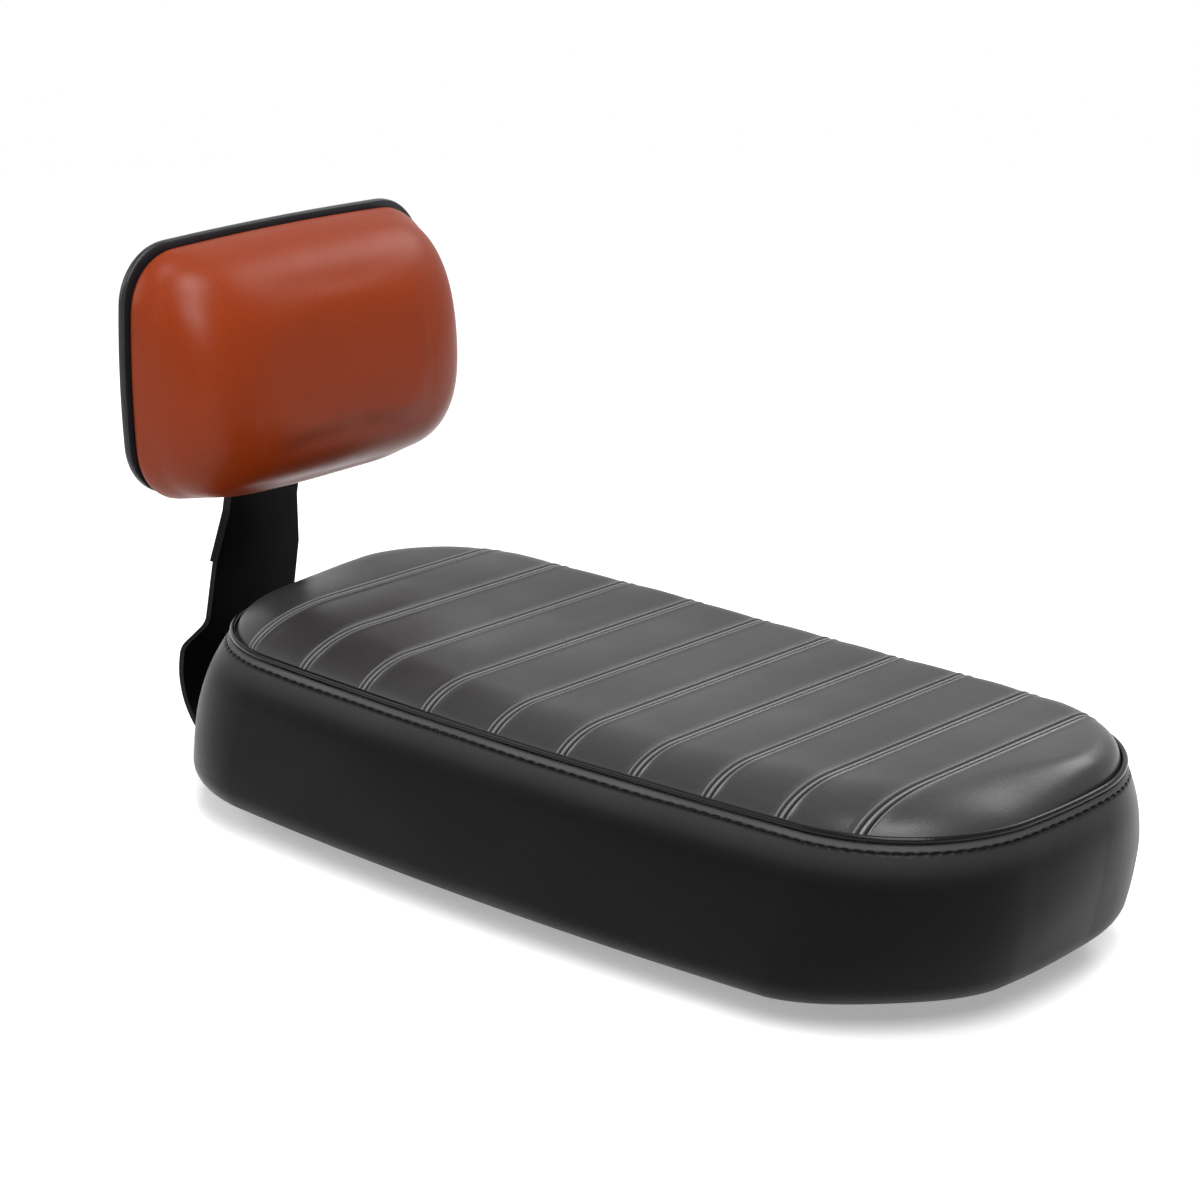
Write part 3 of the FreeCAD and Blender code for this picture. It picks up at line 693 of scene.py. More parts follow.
@dataclass
class TopPanel:
    """Crowned top panel with double lines pressed across it."""

    form: SeatForm
    edge_gap: float = 0.1
    edge_drop: float = 2.0
    crown: tuple[Station, ...] = ((-185.0, 10.4), (-122.0, 9.6), (-61.0, 7.2), (0.0, 5.8), (61.0, 5.8),
                                  (110.0, 7.2), (185.0, 8.2))
    shoulder: tuple[Station, ...] = ((-185.0, 32.0), (-122.0, 32.0), (-50.0, 20.0), (70.0, 20.0),
                                     (150.0, 25.0))
    near_shoulder: float = 1.15
    far_shoulder: float = 0.5
    near_fullness: Station = (2.1, 1.5)
    far_fullness: Station = (2.3, 2.3)
    side_blend: Station = (-25.0, 25.0)
    rear_blend: Station = (-165.0, -110.0)
    seams: tuple[float, ...] = (-124.0, -93.5, -62.0, -30.5, 1.0, 32.0, 62.5, 92.5, 121.0, 148.0)
    bay: float = 30.0
    seam_spacing: float = 2.4
    groove_depth: float = 1.9
    groove_width: float = 0.34
    lip: float = 0.42
    lip_width: float = 0.5
    # Painted highlight on the seams: widths and share of the paler colour on the ridge and the lips.
    ridge_highlight_width: float = 0.45
    lip_highlight_width: float = 0.4
    lip_highlight_share: float = 0.7
    puff: float = 0.9
    fade: float = 1.2
    reach: float = 2.7
    seam_lines: int = 28
    gap_lines: int = 11
    rear_spine: float = -131.0
    front_spine: float = 158.5
    fan_lines: int = 90
    rings: int = 40
    gather: float = 1.7
    thickness: float = 3.0

    def rim_inset(self) -> float:
        """Distance of the panel's edge in from the widest outline."""
        form = self.form
        return form.wall_inset(form.welt_height) + form.welt_inset + form.welt_radius + self.edge_gap

    def rim(self, count: int) -> np.ndarray:
        """Panel's edge in plan, traced anticlockwise from the rear middle.

        Args:
            count: how many points.

        Returns:
            Points in millimetres.
        """
        points, normals = self.form.outline().trace(count)
        flat = points - normals * self.rim_inset()
        flat[:, 0] += self.form.shift(self.form.welt_height)
        return flat

    def columns(self) -> np.ndarray:
        """X of the lines across the panel, gathered at each seam.

        Returns:
            The places in order, rear to front.
        """
        stops = [np.array([self.rear_spine])]
        for seam in self.seams:
            start = seam - self.reach
            stops.append(np.linspace(stops[-1][-1], start, self.gap_lines)[1:-1])
            stops.append(np.linspace(start, seam + self.reach, self.seam_lines))
        stops.append(np.linspace(stops[-1][-1], self.front_spine, 4)[1:])
        return np.concatenate(stops)

    def loop(self) -> tuple[np.ndarray, np.ndarray]:
        """Ends of the mesh's lines.

        Returns:
            Points on the rim, and for each the point on the middle line that its mesh line runs to.
        """
        rim = self.rim(4000)
        columns = self.columns()
        half = len(rim) // 2
        order = np.argsort(rim[:half, 0])
        near = np.interp(columns, rim[:half][order, 0], rim[:half][order, 1])
        sides = np.column_stack((columns, near))
        far = np.column_stack((columns[::-1], -near[::-1]))
        fans = {}
        for spine, ahead in ((self.front_spine, 1.0), (self.rear_spine, -1.0)):
            beyond = rim[(rim[:, 0] - spine) * ahead > 0]
            turn = np.arctan2(beyond[:, 1] * ahead, (beyond[:, 0] - spine) * ahead)
            beyond = beyond[np.argsort(turn)]
            run = np.concatenate(((0.0,), np.cumsum(np.hypot(*np.diff(beyond, axis=0).T))))
            even = np.linspace(0, run[-1], self.fan_lines + 2)[1:-1]
            fans[spine] = np.column_stack([np.interp(even, run, beyond[:, axis]) for axis in (0, 1)])
        edge = np.vstack((sides, fans[self.front_spine], far, fans[self.rear_spine]))
        spine = np.zeros_like(edge)
        spine[:, 0] = np.clip(edge[:, 0], self.rear_spine, self.front_spine)
        return edge, spine

    def height(self, flat: np.ndarray, depth: np.ndarray) -> np.ndarray:
        """Height of the panel's face above the cover's underside.

        Args:
            flat: places in plan.
            depth: distance in from the rim.

        Returns:
            The heights.
        """
        x, y = flat.T
        crown = self.edge_drop + eased(x, self.crown)
        across = smooth_step(y, *self.side_blend)
        rear = 1 - smooth_step(x, *self.rear_blend)
        wide = self.near_shoulder + (1 - self.near_shoulder) * rear
        tight = wide + (self.far_shoulder - wide) * across
        share = np.clip(depth / (eased(x, self.shoulder) * tight), 0, 1)
        near, far = ((1 - (1 - share) ** bend) ** (1 / root)
                     for bend, root in (self.near_fullness, self.far_fullness))
        rise = near + (far - near) * np.maximum(across, rear)
        aside = np.abs(x[:, None] - np.array(self.seams)).min(axis=1)
        share = np.clip(aside / (self.bay / 2), 0, 1)
        line = aside - self.seam_spacing / 2
        pressed = self.groove_depth * bell(line, self.groove_width)
        pressed -= self.lip * bell(line - self.lip_width - self.groove_width, self.lip_width)
        pressed -= self.lip * np.clip(1 - (aside / (self.seam_spacing / 2)) ** 2, 0, 1)
        fade = smooth_step(depth, 0.0, self.fade)
        swell = self.puff * np.sqrt(1 - (1 - share) ** 2) * rise
        return self.form.welt_height - self.edge_drop + crown * rise + swell - pressed * fade

    def face(self) -> tuple[np.ndarray, int]:
        """Upper face as rings from the rim to the middle line.

        Returns:
            Points in millimetres, ring after ring, and the count in each ring.
        """
        edge, spine = self.loop()
        dense = self.rim(6000)
        tree = KDTree(len(dense))
        for index, (x, y) in enumerate(dense):
            tree.insert((x, y, 0.0), index)
        tree.balance()
        shares = (np.arange(self.rings + 1) / self.rings) ** self.gather
        flat = np.vstack([edge + share * (spine - edge) for share in shares])
        depth = np.array([tree.find((x, y, 0.0))[2] for x, y in flat])
        depth[:len(edge)] = 0.0
        level = self.form.underside + self.height(flat, depth)
        return np.column_stack((flat, level)), len(edge)

    def paint_ridge_highlights(self, mesh: bpy.types.Mesh) -> None:
        """Paint highlights on the ridges beside and between the pressed lines, by marking them for the paler
        painted sheen.

        Args:
            mesh: the panel's mesh.
        """
        x = places(mesh)[:, 0]
        aside = np.abs(x[:, None] - np.array(self.seams)).min(axis=1)
        lips = bell(aside - self.seam_spacing / 2 - self.groove_width - self.lip_width, self.lip_highlight_width)
        paint_sheen(mesh, np.maximum(bell(aside, self.ridge_highlight_width), self.lip_highlight_share * lips))

    def build(self) -> bpy.types.Object:
        """Make the panel with its underside closed.

        Returns:
            The panel.
        """
        upper, count = self.face()
        lower = upper - np.array((0.0, 0.0, self.thickness))
        rows = self.rings + 1
        faces = grid_faces(rows, count)
        faces += grid_faces(rows, count, first=len(upper))
        for index in range(count):
            after = (index + 1) % count
            faces.append((index, after, len(upper) + after, len(upper) + index))
        piece = make_piece("seat_top_panel", np.vstack((upper, lower)), faces, Slot.TOP, ("seat_top_cover",))
        self.paint_ridge_highlights(piece.data)
        return piece


@dataclass
class FoamCore:
    """Seat foam, a little under the covers."""

    form: SeatForm
    panel: TopPanel
    clearance: float = 3.6
    side_gap: float = 2.6
    levels: tuple[float, ...] = (24.0, 34.0, 44.0, 50.0)
    foot: float = 9.4
    foot_draw: float = 14.0
    around: int = 240
    rings: int = 12

    def build(self) -> bpy.types.Object:
        """Make the closed block.

        Returns:
            The foam.
        """
        form = self.form
        points, normals = form.outline().trace(self.around)
        rows = [form.ring(points, normals, self.side_gap + self.foot_draw, self.foot)]
        rows += [form.ring(points, normals, form.wall_inset(h) + self.side_gap, h) for h in self.levels]
        edge = points - normals * (self.panel.rim_inset() + self.clearance)
        edge[:, 0] += form.shift(form.welt_height)
        spine = np.column_stack((np.clip(edge[:, 0], self.panel.rear_spine, self.panel.front_spine),
                                 np.zeros(self.around)))
        for ring in range(self.rings + 1):
            flat = edge + (spine - edge) * ring / self.rings
            depth = np.hypot(*(flat - edge).T)
            level = form.underside + self.panel.height(flat, depth) - self.clearance
            rows.append(np.column_stack((flat, level)))
        faces = grid_faces(len(rows), self.around)
        faces.append(tuple(reversed(range(self.around))))
        piece = make_piece("seat_foam_core", np.vstack(rows), faces, Slot.FOAM, ("seat_foam",))
        return piece


@dataclass
class SideBand:
    """Boxing band: folded top edge, topstitched strip, bulged wall and the flap turned under the base."""

    form: SeatForm
    around: int = 1600
    skin: float = 1.2
    tuck: float = 10.5
    flap: float = 8.0
    fold: float = 0.9
    fold_gap: float = 0.6
    strip_lean: float = 0.4
    upper_draw: float = 1.6
    upper_start: float = 42.0
    stitch_drop: float = 4.1
    stitch_pitch: float = 4.5
    stitch_length: float = 2.6
    stitch_radius: float = 0.34
    stitch_rings: int = 7
    stitch_sides: int = 7
    stitch_steps: int = 24
    stitch_dent: float = 1.1
    dent_width: float = 0.5
    strip_puff: float = 0.2
    strip_width: float = 1.2
    near_front_draw: float = 6.5
    near_rear_draw: float = 1.5
    far_rear_draw: float = 3.0
    far_front_swell: float = 4.2
    near_rear_swell: float = 2.0
    swell_fade: Station = (28.0, 60.0)
    swell_loss: float = 0.8
    front_draw: float = 1.6
    corner_rise: float = 34.0
    unevenness: float = 0.3
    uneven_scale: float = 0.016
    calm_foot: Station = (4.0, 14.0)
    # Painted sheen on the strip above the stitches and below them: where it starts, how much reaches below
    # and where that fades.
    strip_sheen_edge: Station = (-0.2, 0.5)
    sheen_below_stitches: float = 0.35
    sheen_below_fade: Station = (-11.0, -1.0)
    stitch_shade: float = 0.7

    def fold_height(self) -> float:
        """Height of the centre of the folded top edge."""
        return self.form.welt_height - self.form.welt_radius - self.fold_gap - self.fold

    def stitch_height(self) -> float:
        """Height of the topstitch line."""
        return self.form.welt_height - self.stitch_drop

    def face_inset(self, height: float) -> float:
        """Distance of the face in from the widest outline, with the upper wall and the strip drawn in.

        Args:
            height: height above the cover's underside.

        Returns:
            The distance.
        """
        stitch = self.stitch_height()
        upper = max((height - self.upper_start) / (stitch - self.upper_start), 0.0)
        strip = max((height - stitch) / (self.fold_height() - stitch), 0.0)
        return self.form.wall_inset(height) + self.upper_draw * upper ** 2 + self.strip_lean * strip ** 1.5

    def section(self, depth: float, fine: bool) -> list[Station]:
        """Band's section at a depth inside its face.

        Args:
            depth: distance inside the outer face.
            fine: whether the wall gets close points at the stitches.

        Returns:
            Inset and height of each point, from the fold's inner end to the flap's edge.
        """
        form = self.form
        top = self.fold_height()
        stitch = self.stitch_height()
        turn = np.radians(np.linspace(200, 25, 10 if fine else 4))
        centre = self.face_inset(top) + self.fold
        radius = max(self.fold - depth, 0.1)
        found = [(centre - radius * math.cos(a), top + radius * math.sin(a)) for a in turn]
        if fine:
            close = np.concatenate((np.linspace(top - 0.1, stitch - 1.3, 12),
                                    np.linspace(stitch - 2.2, 42, 5),
                                    np.linspace(37, self.tuck, 7)))
        else:
            close = np.linspace(top - 0.6, self.tuck, 6)
        found += [(self.face_inset(height) + depth, float(height)) for height in close]
        low = form.wall_inset(self.tuck) + self.tuck
        under = np.radians(np.linspace(-8, -90, 10 if fine else 4))
        radius = self.tuck - depth
        found += [(low - radius * math.cos(a), self.tuck + radius * math.sin(a)) for a in under]
        found.append((low + self.flap, depth))
        return found

    def relief(self, run: np.ndarray, height: float, points: np.ndarray) -> np.ndarray:
        """Outward swell of the face: puffed strip, stitch dents and a slow unevenness.

        Args:
            run: distance along the outline.
            height: height of the ring.
            points: the ring's points in plan.

        Returns:
            Outward distance for each point.
        """
        stitch = self.stitch_height()
        middle = (stitch + self.fold_height() + self.fold) / 2
        phase = np.abs(run / self.pitch() % 1.0 - 0.5) * self.pitch()
        pull = 1 - smooth_step(phase, 0.32 * self.stitch_length, 0.62 * self.stitch_length)
        swell = self.strip_puff * bell(np.array(height - middle), self.strip_width)
        dent = self.stitch_dent * (0.3 + 0.7 * pull)
        swell = swell - dent * bell(np.array(height - stitch), self.dent_width)
        x, y = points.T * self.uneven_scale * math.pi
        level = height * self.uneven_scale * 4.4
        slow = np.sin(x + 0.7 * level + 0.6) * np.sin(1.3 * y - level + 1.1)
        slow = slow + 0.5 * np.sin(2.3 * x - 1.4 * level)
        calm = float(smooth_step(np.array(height), *self.calm_foot))
        return swell + self.unevenness * slow * calm

    def corner_draw(self, normals: np.ndarray, height: float) -> np.ndarray:
        """How far the cover is drawn in at the foot of the corners, less its swell at two of them.

        Args:
            normals: outward normals of the outline.
            height: height of the ring.

        Returns:
            Inward distance for each point.
        """
        low = max(1 - height / self.corner_rise, 0.0) ** 2
        ahead, left = normals.T
        near = np.where(ahead > 0, self.near_front_draw, self.near_rear_draw)
        draw = np.where(left < 0, near, np.where(ahead > 0, 0.0, self.far_rear_draw))
        corner = 2 * np.abs(ahead * left)
        swell = np.where((ahead > 0) & (left > 0), self.far_front_swell * corner ** 2, 0.0)
        swell = np.where((ahead < 0) & (left < 0), self.near_rear_swell * corner ** 2, swell)
        swell = swell * (1 - self.swell_loss * float(smooth_step(np.array(height), *self.swell_fade)))
        return low * (draw * corner ** 1.6 + self.front_draw * np.clip(ahead, 0, 1) ** 3) - swell

    def pitch(self) -> float:
        """Stitch pitch that divides the girth evenly."""
        girth = self.form.outline().girth()
        return girth / round(girth / self.stitch_pitch)

    def build(self) -> list[bpy.types.Object]:
        """Make the band and its topstitching.

        Returns:
            The band and the stitches.
        """
        form = self.form
        outline = form.outline()
        points, normals = outline.trace(self.around)
        run = outline.girth() * np.arange(self.around) / self.around
        rings = []
        for inset, height in self.section(0.0, True):
            swell = self.relief(run, height, points) - self.corner_draw(normals, height)
            rings.append(form.ring(points, normals, inset - swell, height))
        for inset, height in reversed(self.section(self.skin, False)):
            rings.append(form.ring(points, normals, inset + self.corner_draw(normals, height), height))
        faces = grid_faces(len(rings), self.around, close_rows=True)
        band = make_piece("seat_side_band", np.vstack(rings), faces, Slot.SIDE, ("seat_side_cover",))
        self.paint_strip_sheen(band.data)
        return [band, self.stitches(outline)]

    def paint_strip_sheen(self, mesh: bpy.types.Mesh) -> None:
        """Paint sheen on the strip above the stitches, fading out below them, by marking it for the paler
        colour; the stitch line is left out and stays dark.

        Args:
            mesh: the band's mesh.
        """
        above = places(mesh)[:, 2] - self.form.underside - self.stitch_height()
        strip = smooth_step(above, *self.strip_sheen_edge)
        below = self.sheen_below_stitches * smooth_step(above, *self.sheen_below_fade) * (1 - strip)
        paint_sheen(mesh, np.maximum(strip, below) * (1 - bell(above, self.stitch_shade)))

    def stitches(self, outline: BowedOutline) -> bpy.types.Object:
        """Topstitching as one thread, a short bowed bar for each stitch.

        Args:
            outline: the seat's plan at its widest.

        Returns:
            The stitches.
        """
        form = self.form
        count = round(outline.girth() / self.stitch_pitch)
        samples = self.stitch_rings
        sides = self.stitch_sides
        steps = self.stitch_steps
        stitch = self.stitch_height()
        points, normals = outline.trace(count * steps)
        step = outline.girth() / (count * steps)
        reach = self.stitch_length / 2
        surface = self.face_inset(stitch) + self.stitch_dent * 0.95
        vertices = []
        faces = []
        for index in range(count):
            middle = index * steps + steps // 2
            for sample in range(samples):
                share = 2 * sample / (samples - 1) - 1
                at = (middle + round(share * reach / step)) % len(points)
                arch = 1 - share ** 2
                radius = self.stitch_radius * math.sqrt(max(1 - share ** 4, 0.05))
                inset = surface - self.stitch_radius * (0.6 * arch - 0.5)
                ring = form.ring(points[at:at + 1], normals[at:at + 1], inset, stitch)[0]
                out = np.array((*normals[at], 0.0))
                for side in range(sides):
                    angle = 2 * math.pi * side / sides
                    spread = math.cos(angle) * out + np.array((0, 0, math.sin(angle)))
                    vertices.append(ring + radius * spread)
            first = index * samples * sides
            faces += grid_faces(samples, sides, first=first)
            faces.append(tuple(first + side for side in reversed(range(sides))))
            faces.append(tuple(first + (samples - 1) * sides + side for side in range(sides)))
        return make_piece("band_topstitch", np.array(vertices), faces, Slot.PIPING)


@dataclass
class SeatCushion:
    """The seat: foam, covers, welt and stitching round the moulded base."""

    form: SeatForm

    def build(self) -> None:
        """Make the soft pieces."""
        panel = TopPanel(self.form)
        panel.build()
        FoamCore(self.form, panel).build()
        SideBand(self.form).build()
        Welt(self.form).build()


# Backrest

@dataclass
class BackrestPad:
    """Domed backrest pad, blown up from a smaller start by a cloth simulation."""

    low: Vector
    high: Vector
    corner: float = 21.0
    crown_corner: float = 0.85
    bow: float = 0.8
    side_round: float = 22.0
    top_round: float = 38.0
    bottom_round: float = 23.0
    squareness: float = 2.45
    lean: float = 0.09
    top_lift: float = 1.0
    bottom_drop: float = 2.2
    proud: float = 3.0
    tuck: float = 3.0
    flap: float = 9.0
    held_edge: float = 8.0
    slack: float = 1.2
    around: int = 168
    rings: int = 20
    pressure: float = 4.0
    frames: int = 20
    passes: int = 40
    soft_passes: int = 30

    def ring(self, turn: float, inset: float, depth: float) -> np.ndarray:
        """Outline of the pad at a turn of its dome.

        Args:
            turn: 0 at the back, a quarter turn at the crown, in radians.
            inset: distance in from that outline.
            depth: distance ahead of the pad's back.

        Returns:
            Points in millimetres.
        """
        drawn = 1 - max(math.cos(turn), 0.0) ** (2 / self.squareness)
        width = (self.high.y - self.low.y) / MM - 2 * self.side_round * drawn
        half = (self.high.z - self.low.z) / 2 / MM
        height = 2 * half - (self.top_round + self.bottom_round) * drawn
        corner = self.corner * (1 - drawn) + self.crown_corner * height / 2 * drawn
        bow = self.bow * (1 - 0.8 * drawn)
        points, normals = BowedOutline(width, height, corner, bow, bow).trace(self.around)
        flat = points - normals * inset
        flat[:, 1] += (self.bottom_round - self.top_round) / 2 * drawn
        rise = flat[:, 1] / half
        level = self.low.z / MM + half + flat[:, 1]
        level += self.top_lift * np.clip(rise, 0.0, 1.0) + self.bottom_drop * np.clip(rise, -1.0, 0.0)
        return np.column_stack((self.low.x / MM + depth * (1 - self.lean * rise), flat[:, 0], level))

    def start(self) -> bpy.types.Object:
        """Make the slack start shape, from the flap at the back to the crown.

        Returns:
            The pad before it is blown up.
        """
        full = (self.high.x - self.low.x) / MM - self.slack + self.proud
        rows = [self.ring(0.0, self.tuck + self.flap * share, 0.0) for share in (1.0, 0.5)]
        for angle in np.radians(np.linspace(90, 18, 5)):
            inset = self.tuck * (1 - math.cos(angle))
            rows.append(self.ring(0.0, inset, self.tuck * (1 - math.sin(angle))))
        first = math.asin((self.tuck / full) ** (self.squareness / 2))
        for turn in np.linspace(first, math.pi / 2, self.rings):
            reach = math.sin(turn) ** (2 / self.squareness)
            rows.append(self.ring(turn, self.slack * reach ** 2, full * reach))
        rim = rows[-1]
        middle = rim.mean(axis=0)
        reach = np.abs(rim[:, 1]).max() - np.abs(rim[:, 2] - middle[2]).max()
        spine = np.column_stack((np.full(self.around, middle[0]), np.clip(rim[:, 1], -reach, reach),
                                 np.full(self.around, middle[2])))
        rows += [(rim + spine) / 2, spine]
        faces = grid_faces(len(rows), self.around)
        faces.append(tuple(reversed(range(self.around))))
        piece = make_piece("backrest_pad", np.vstack(rows), faces, Slot.BROWN,
                           ("backrest_cover", "backrest_foam"))
        self.soften(piece.data)
        return piece

    def soften(self, mesh: bpy.types.Mesh) -> None:
        """Round the dome's corners off by averaging its points, with the back and its edge held.

        Args:
            mesh: the pad's mesh.
        """
        start = np.array([v.co[:] for v in mesh.vertices])
        free = smooth_step((start[:, 0] - self.low.x) / MM, self.tuck, self.tuck + self.held_edge)
        even = np.column_stack([self.evened(mesh, column, self.soft_passes) for column in start.T])
        for vertex, place in zip(mesh.vertices, start + (even - start) * free[:, None]):
            vertex.co = place

    def inflate(self, piece: bpy.types.Object) -> None:
        """Blow the pad up with a cloth simulation, its back held, and keep the evened swell in its mesh.

        Args:
            piece: the pad.
        """
        mesh = piece.data
        start = np.array([v.co[:] for v in mesh.vertices])
        facing = np.array([v.normal[:] for v in mesh.vertices])
        back = start[:, 0] < self.low.x + self.tuck * MM
        held = piece.vertex_groups.new(name="held")
        held.add(np.flatnonzero(back).tolist(), 1.0, "REPLACE")
        cloth = piece.modifiers.new("inflate", "CLOTH")
        cloth.settings.vertex_group_mass = held.name
        cloth.settings.use_pressure = True
        cloth.settings.uniform_pressure_force = self.pressure
        cloth.settings.effector_weights.gravity = 0.0
        cloth.point_cache.frame_start = 1
        cloth.point_cache.frame_end = self.frames
        scene = bpy.context.scene
        for step in range(1, self.frames + 1):
            scene.frame_set(step)
        settled = piece.evaluated_get(bpy.context.evaluated_depsgraph_get()).to_mesh()
        swell = np.einsum("ij,ij->i", np.array([v.co[:] for v in settled.vertices]) - start, facing)
        piece.modifiers.remove(cloth)
        piece.vertex_groups.remove(held)
        scene.frame_set(1)
        LOG.info("pad swelled %.2f mm at most, %.2f on average", swell.max() / MM, swell.mean() / MM)
        swell = self.evened(mesh, np.where(back, 0.0, swell), self.passes)
        swell *= self.slack * MM / np.percentile(swell[~back], 80)
        swell = np.clip(swell, 0, 1.3 * self.slack * MM)
        for vertex, place in zip(mesh.vertices, start + facing * swell[:, None]):
            vertex.co = place

    def evened(self, mesh: bpy.types.Mesh, swell: np.ndarray, passes: int) -> np.ndarray:
        """Average a value over neighbouring points, so that no crumple or crease is left.

        Args:
            mesh: the pad's mesh.
            swell: the value at each point.
            passes: how often.

        Returns:
            The evened values.
        """
        edges = np.array([e.vertices[:] for e in mesh.edges])
        ends = np.concatenate((edges[:, 0], edges[:, 1]))
        others = np.concatenate((edges[:, 1], edges[:, 0]))
        degree = np.bincount(ends, minlength=len(swell))
        for _ in range(passes):
            around = np.bincount(ends, weights=swell[others], minlength=len(swell)) / degree
            swell = (swell + around) / 2
        return swell

    def build(self) -> bpy.types.Object:
        """Make the pad, blow it up and smooth it.

        Returns:
            The pad.
        """
        piece = self.start()
        self.inflate(piece)
        smooth = piece.modifiers.new("smooth", "SUBSURF")
        smooth.levels = 1
        smooth.render_levels = 1
        return piece


# Rigid pieces

CAD_FINISH = {
    "seat_base": Slot.BASE,
    "rack_nuts": Slot.ZINC,
    "backrest_bracket": Slot.BRACKET,
    "backrest_shell": Slot.SHELL,
    "backrest_board": Slot.BOARD,
    "bracket_bolts": Slot.ZINC,
    "bracket_flat_washers": Slot.ZINC,
    "bracket_spring_washers": Slot.ZINC,
    "bracket_nuts": Slot.ZINC,
    "backrest_screws": Slot.BLACK_STEEL,
    "backrest_flat_washers": Slot.BLACK_STEEL,
    "backrest_spring_washers": Slot.BLACK_STEEL,
    "backrest_nuts": Slot.ZINC,
}


def dress_rigid(nodes: dict[str, bpy.types.Object]) -> None:
    """Give each rigid piece of the frame its finish.

    Args:
        nodes: the frame's objects by node name.
    """
    for name, slot in CAD_FINISH.items():
        materials = nodes[name].data.materials
        if not materials:
            materials.append(None)
        for index in range(len(materials)):
            materials[index] = FINISHES[slot].material()
        LOG.info("%s: %s", name, slot.value)


# Studio

@dataclass(frozen=True)
class Softbox:
    """A rectangular lamp aimed at a point; metres and watts."""

    name: str
    place: tuple[float, float, float]
    aim: tuple[float, float, float]
    size: tuple[float, float]
    watts: float
    colour: Colour = (1.0, 1.0, 1.0)

    def build(self) -> None:
        """Place the lamp."""
        data = bpy.data.lights.new(self.name, "AREA")
        data.shape = "RECTANGLE"
        data.size, data.size_y = self.size
        data.energy = self.watts
        data.color = self.colour
        lamp = bpy.data.objects.new(self.name, data)
        lamp.location = self.place
        lamp.rotation_euler = (Vector(self.aim) - Vector(self.place)).to_track_quat("-Z", "Y").to_euler()
        bpy.context.scene.collection.objects.link(lamp)


@dataclass(frozen=True)
class Viewpoint:
    """Camera fitted to the photograph: angles in degrees, lengths in millimetres."""

    azimuth: float = 42.2705
    elevation: float = 17.5373
    distance: float = 1200.0
    lens: float = 102.58
    sensor: float = 36.0
    aim_right: float = -12.109
    aim_up: float = 85.61
    aim_rise: float = 10.1

    def build(self) -> None:
        """Place the camera and make it the scene's own."""
        turn = math.radians(self.azimuth)
        rise = math.radians(self.elevation)
        back = Vector((math.sin(turn) * math.cos(rise), -math.cos(turn) * math.cos(rise), math.sin(rise)))
        right = Vector((math.cos(turn), math.sin(turn), 0.0))
        up = back.cross(right)
        target = right * self.aim_right + up * self.aim_up + Vector((0.0, 0.0, self.aim_rise))
        data = bpy.data.cameras.new("camera")
        data.lens = self.lens
        data.sensor_width = self.sensor
        data.clip_end = 50.0
        camera = bpy.data.objects.new("camera", data)
        axes = Matrix((right, up, back)).transposed().to_4x4()
        camera.matrix_world = Matrix.Translation((target + back * self.distance) * MM) @ axes
        bpy.context.scene.collection.objects.link(camera)
        bpy.context.scene.camera = camera


def seen_rays(graph: Graph) -> bpy.types.NodeSocket:
    """Mask of the rays that show the pale background: from the camera, a reflection or through glass.

    Args:
        graph: the tree that takes it.

    Returns:
        The mask.
    """
    rays = graph.add("ShaderNodeLightPath")
    seen = graph.math("MAXIMUM", rays.outputs["Is Camera Ray"], rays.outputs["Is Glossy Ray"])
    return graph.math("MAXIMUM", seen, rays.outputs["Is Transmission Ray"])


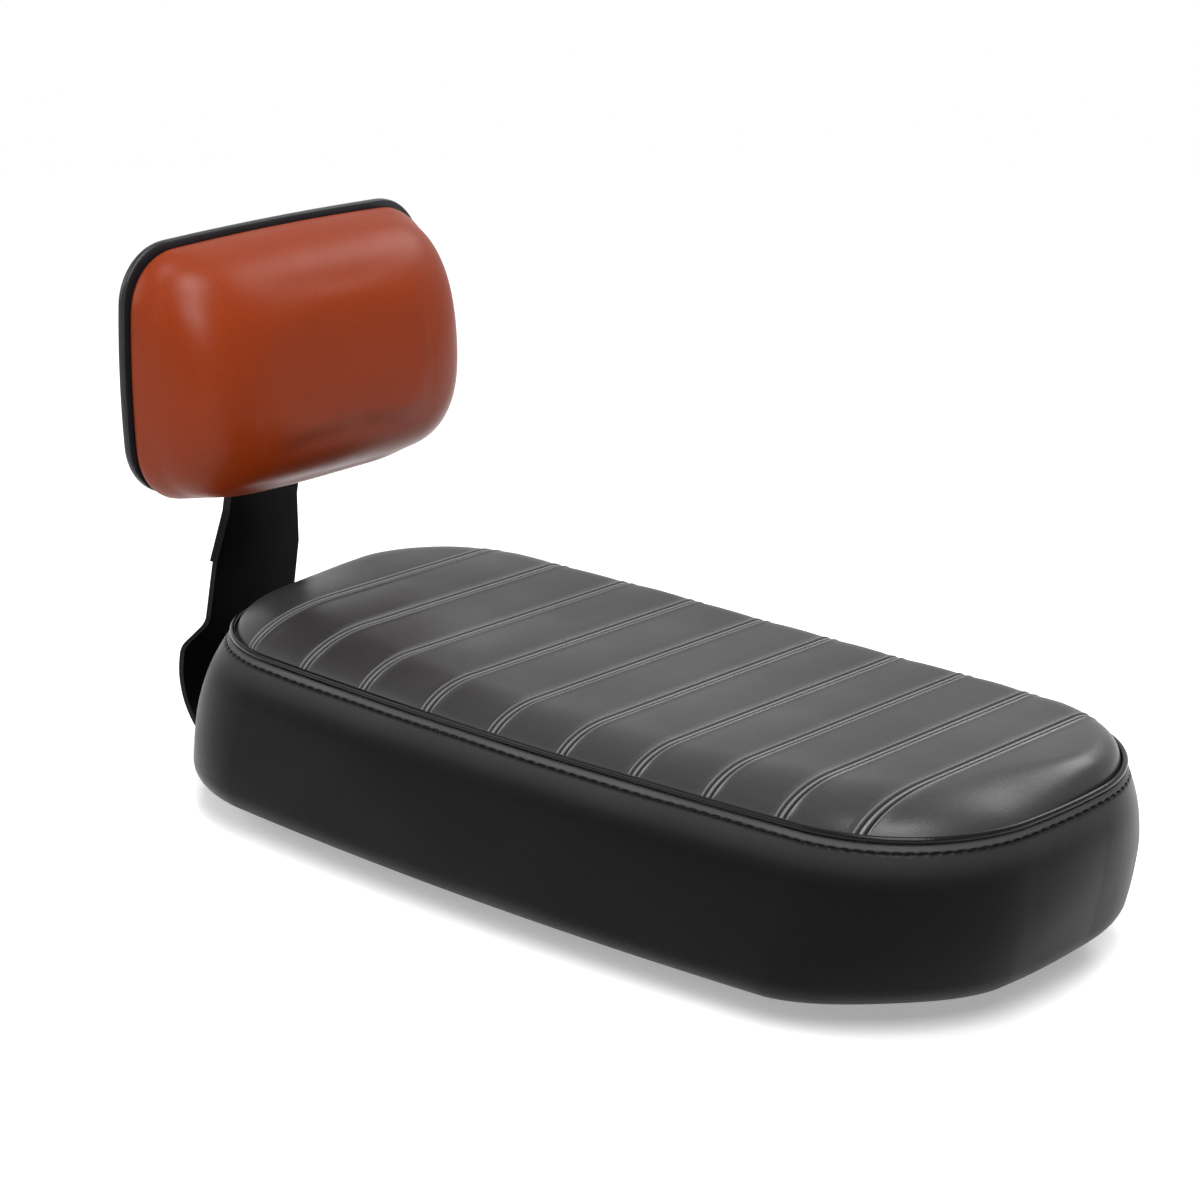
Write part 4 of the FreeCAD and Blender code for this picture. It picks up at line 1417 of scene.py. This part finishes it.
@dataclass
class Studio:
    """Pale floor, pale surround and soft lamps."""

    floor_size: float = 6.0
    floor_colour: Colour = (0.82, 0.82, 0.82)
    floor_lift: float = 0.35
    floor_edge: Station = (0.45, 1.5)
    surround_dim: float = 0.18
    surround_bright: float = 0.4
    bright_side: Colour = (-0.64, 0.70, 0.32)
    bright_edge: Station = (-0.4, 0.8)
    lamps: tuple[Softbox, ...] = field(default_factory=lambda: (
        Softbox("back softbox", (0.05, 1.15, 1.1), (0.0, 0.0, 0.07), (0.65, 0.5), 9.0),
        Softbox("left softbox", (-0.95, -1.0, 0.78), (0.0, 0.0, 0.07), (0.9, 0.9), 9.0),
        Softbox("key softbox", (0.72, -0.7, 1.12), (-0.1, 0.0, 0.12), (0.75, 0.75), 18.0),
        Softbox("top softbox", (0.2, -0.2, 1.4), (0.0, 0.0, 0.07), (0.6, 0.6), 17.0),
    ))

    def floor(self) -> None:
        """Make the floor with its pale material, which keeps the seat's shadow."""
        half = self.floor_size / 2
        mesh = bpy.data.meshes.new("floor")
        corners = [(-half, -half, 0.0), (half, -half, 0.0), (half, half, 0.0), (-half, half, 0.0)]
        mesh.from_pydata(corners, [], [(0, 1, 2, 3)])
        floor = bpy.data.objects.new("floor", mesh)
        bpy.context.scene.collection.objects.link(floor)
        material = bpy.data.materials.new("pale_floor")
        material.use_nodes = True
        material.node_tree.nodes.clear()
        graph = Graph(material.node_tree)
        away = graph.add("ShaderNodeVectorMath", {"operation": "LENGTH"})
        graph.feed(away.inputs[0], graph.add("ShaderNodeTexCoord").outputs["Object"])
        near, far = self.floor_edge
        solid = graph.add("ShaderNodeMapRange", {"interpolation_type": "SMOOTHSTEP"},
                          Value=away.outputs["Value"], From_Min=near, From_Max=far, To_Min=1.0, To_Max=0.0)
        shader = graph.add("ShaderNodeBsdfPrincipled", None, Base_Color=(*self.floor_colour, 1.0),
                           Roughness=0.95, Specular_IOR_Level=0.0, Emission_Color=(1.0, 1.0, 1.0, 1.0),
                           Alpha=solid.outputs[0])
        lift = graph.math("MULTIPLY", seen_rays(graph), self.floor_lift)
        graph.feed(shader.inputs["Emission Strength"], lift)
        graph.add("ShaderNodeOutputMaterial", None, Surface=shader.outputs[0])
        mesh.materials.append(material)

    def surround(self) -> None:
        """White behind the seat for the camera; dimmer light from the viewer's side for the rest."""
        world = bpy.data.worlds.new("studio")
        world.use_nodes = True
        world.node_tree.nodes.clear()
        graph = Graph(world.node_tree)
        aim = graph.add("ShaderNodeVectorMath", {"operation": "DOT_PRODUCT"})
        graph.feed(aim.inputs[0], graph.add("ShaderNodeTexCoord").outputs["Generated"])
        graph.feed(aim.inputs[1], self.bright_side)
        low, high = self.bright_edge
        share = graph.add("ShaderNodeMapRange", {"interpolation_type": "SMOOTHSTEP"},
                          Value=aim.outputs["Value"], From_Min=low, From_Max=high,
                          To_Min=self.surround_dim, To_Max=self.surround_bright)
        strength = graph.math("MAXIMUM", seen_rays(graph), share.outputs[0])
        light = graph.add("ShaderNodeBackground", None, Color=(1.0, 1.0, 1.0, 1.0), Strength=strength)
        graph.add("ShaderNodeOutputWorld", None, Surface=light.outputs[0])
        bpy.context.scene.world = world

    def build(self) -> None:
        """Set up floor, surround and lamps."""
        bpy.context.scene.view_settings.view_transform = "Standard"
        self.floor()
        self.surround()
        for lamp in self.lamps:
            lamp.build()


def main() -> None:
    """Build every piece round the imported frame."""
    logging.basicConfig(level=logging.INFO, format="%(message)s")
    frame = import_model()
    make_effects()
    dress_rigid(frame["nodes"])
    SeatCushion(SeatForm.from_frame()).build()
    BackrestPad(*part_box("backrest_cover")).build()
    Studio().build()
    Viewpoint().build()


if __name__ == "__main__":
    main()
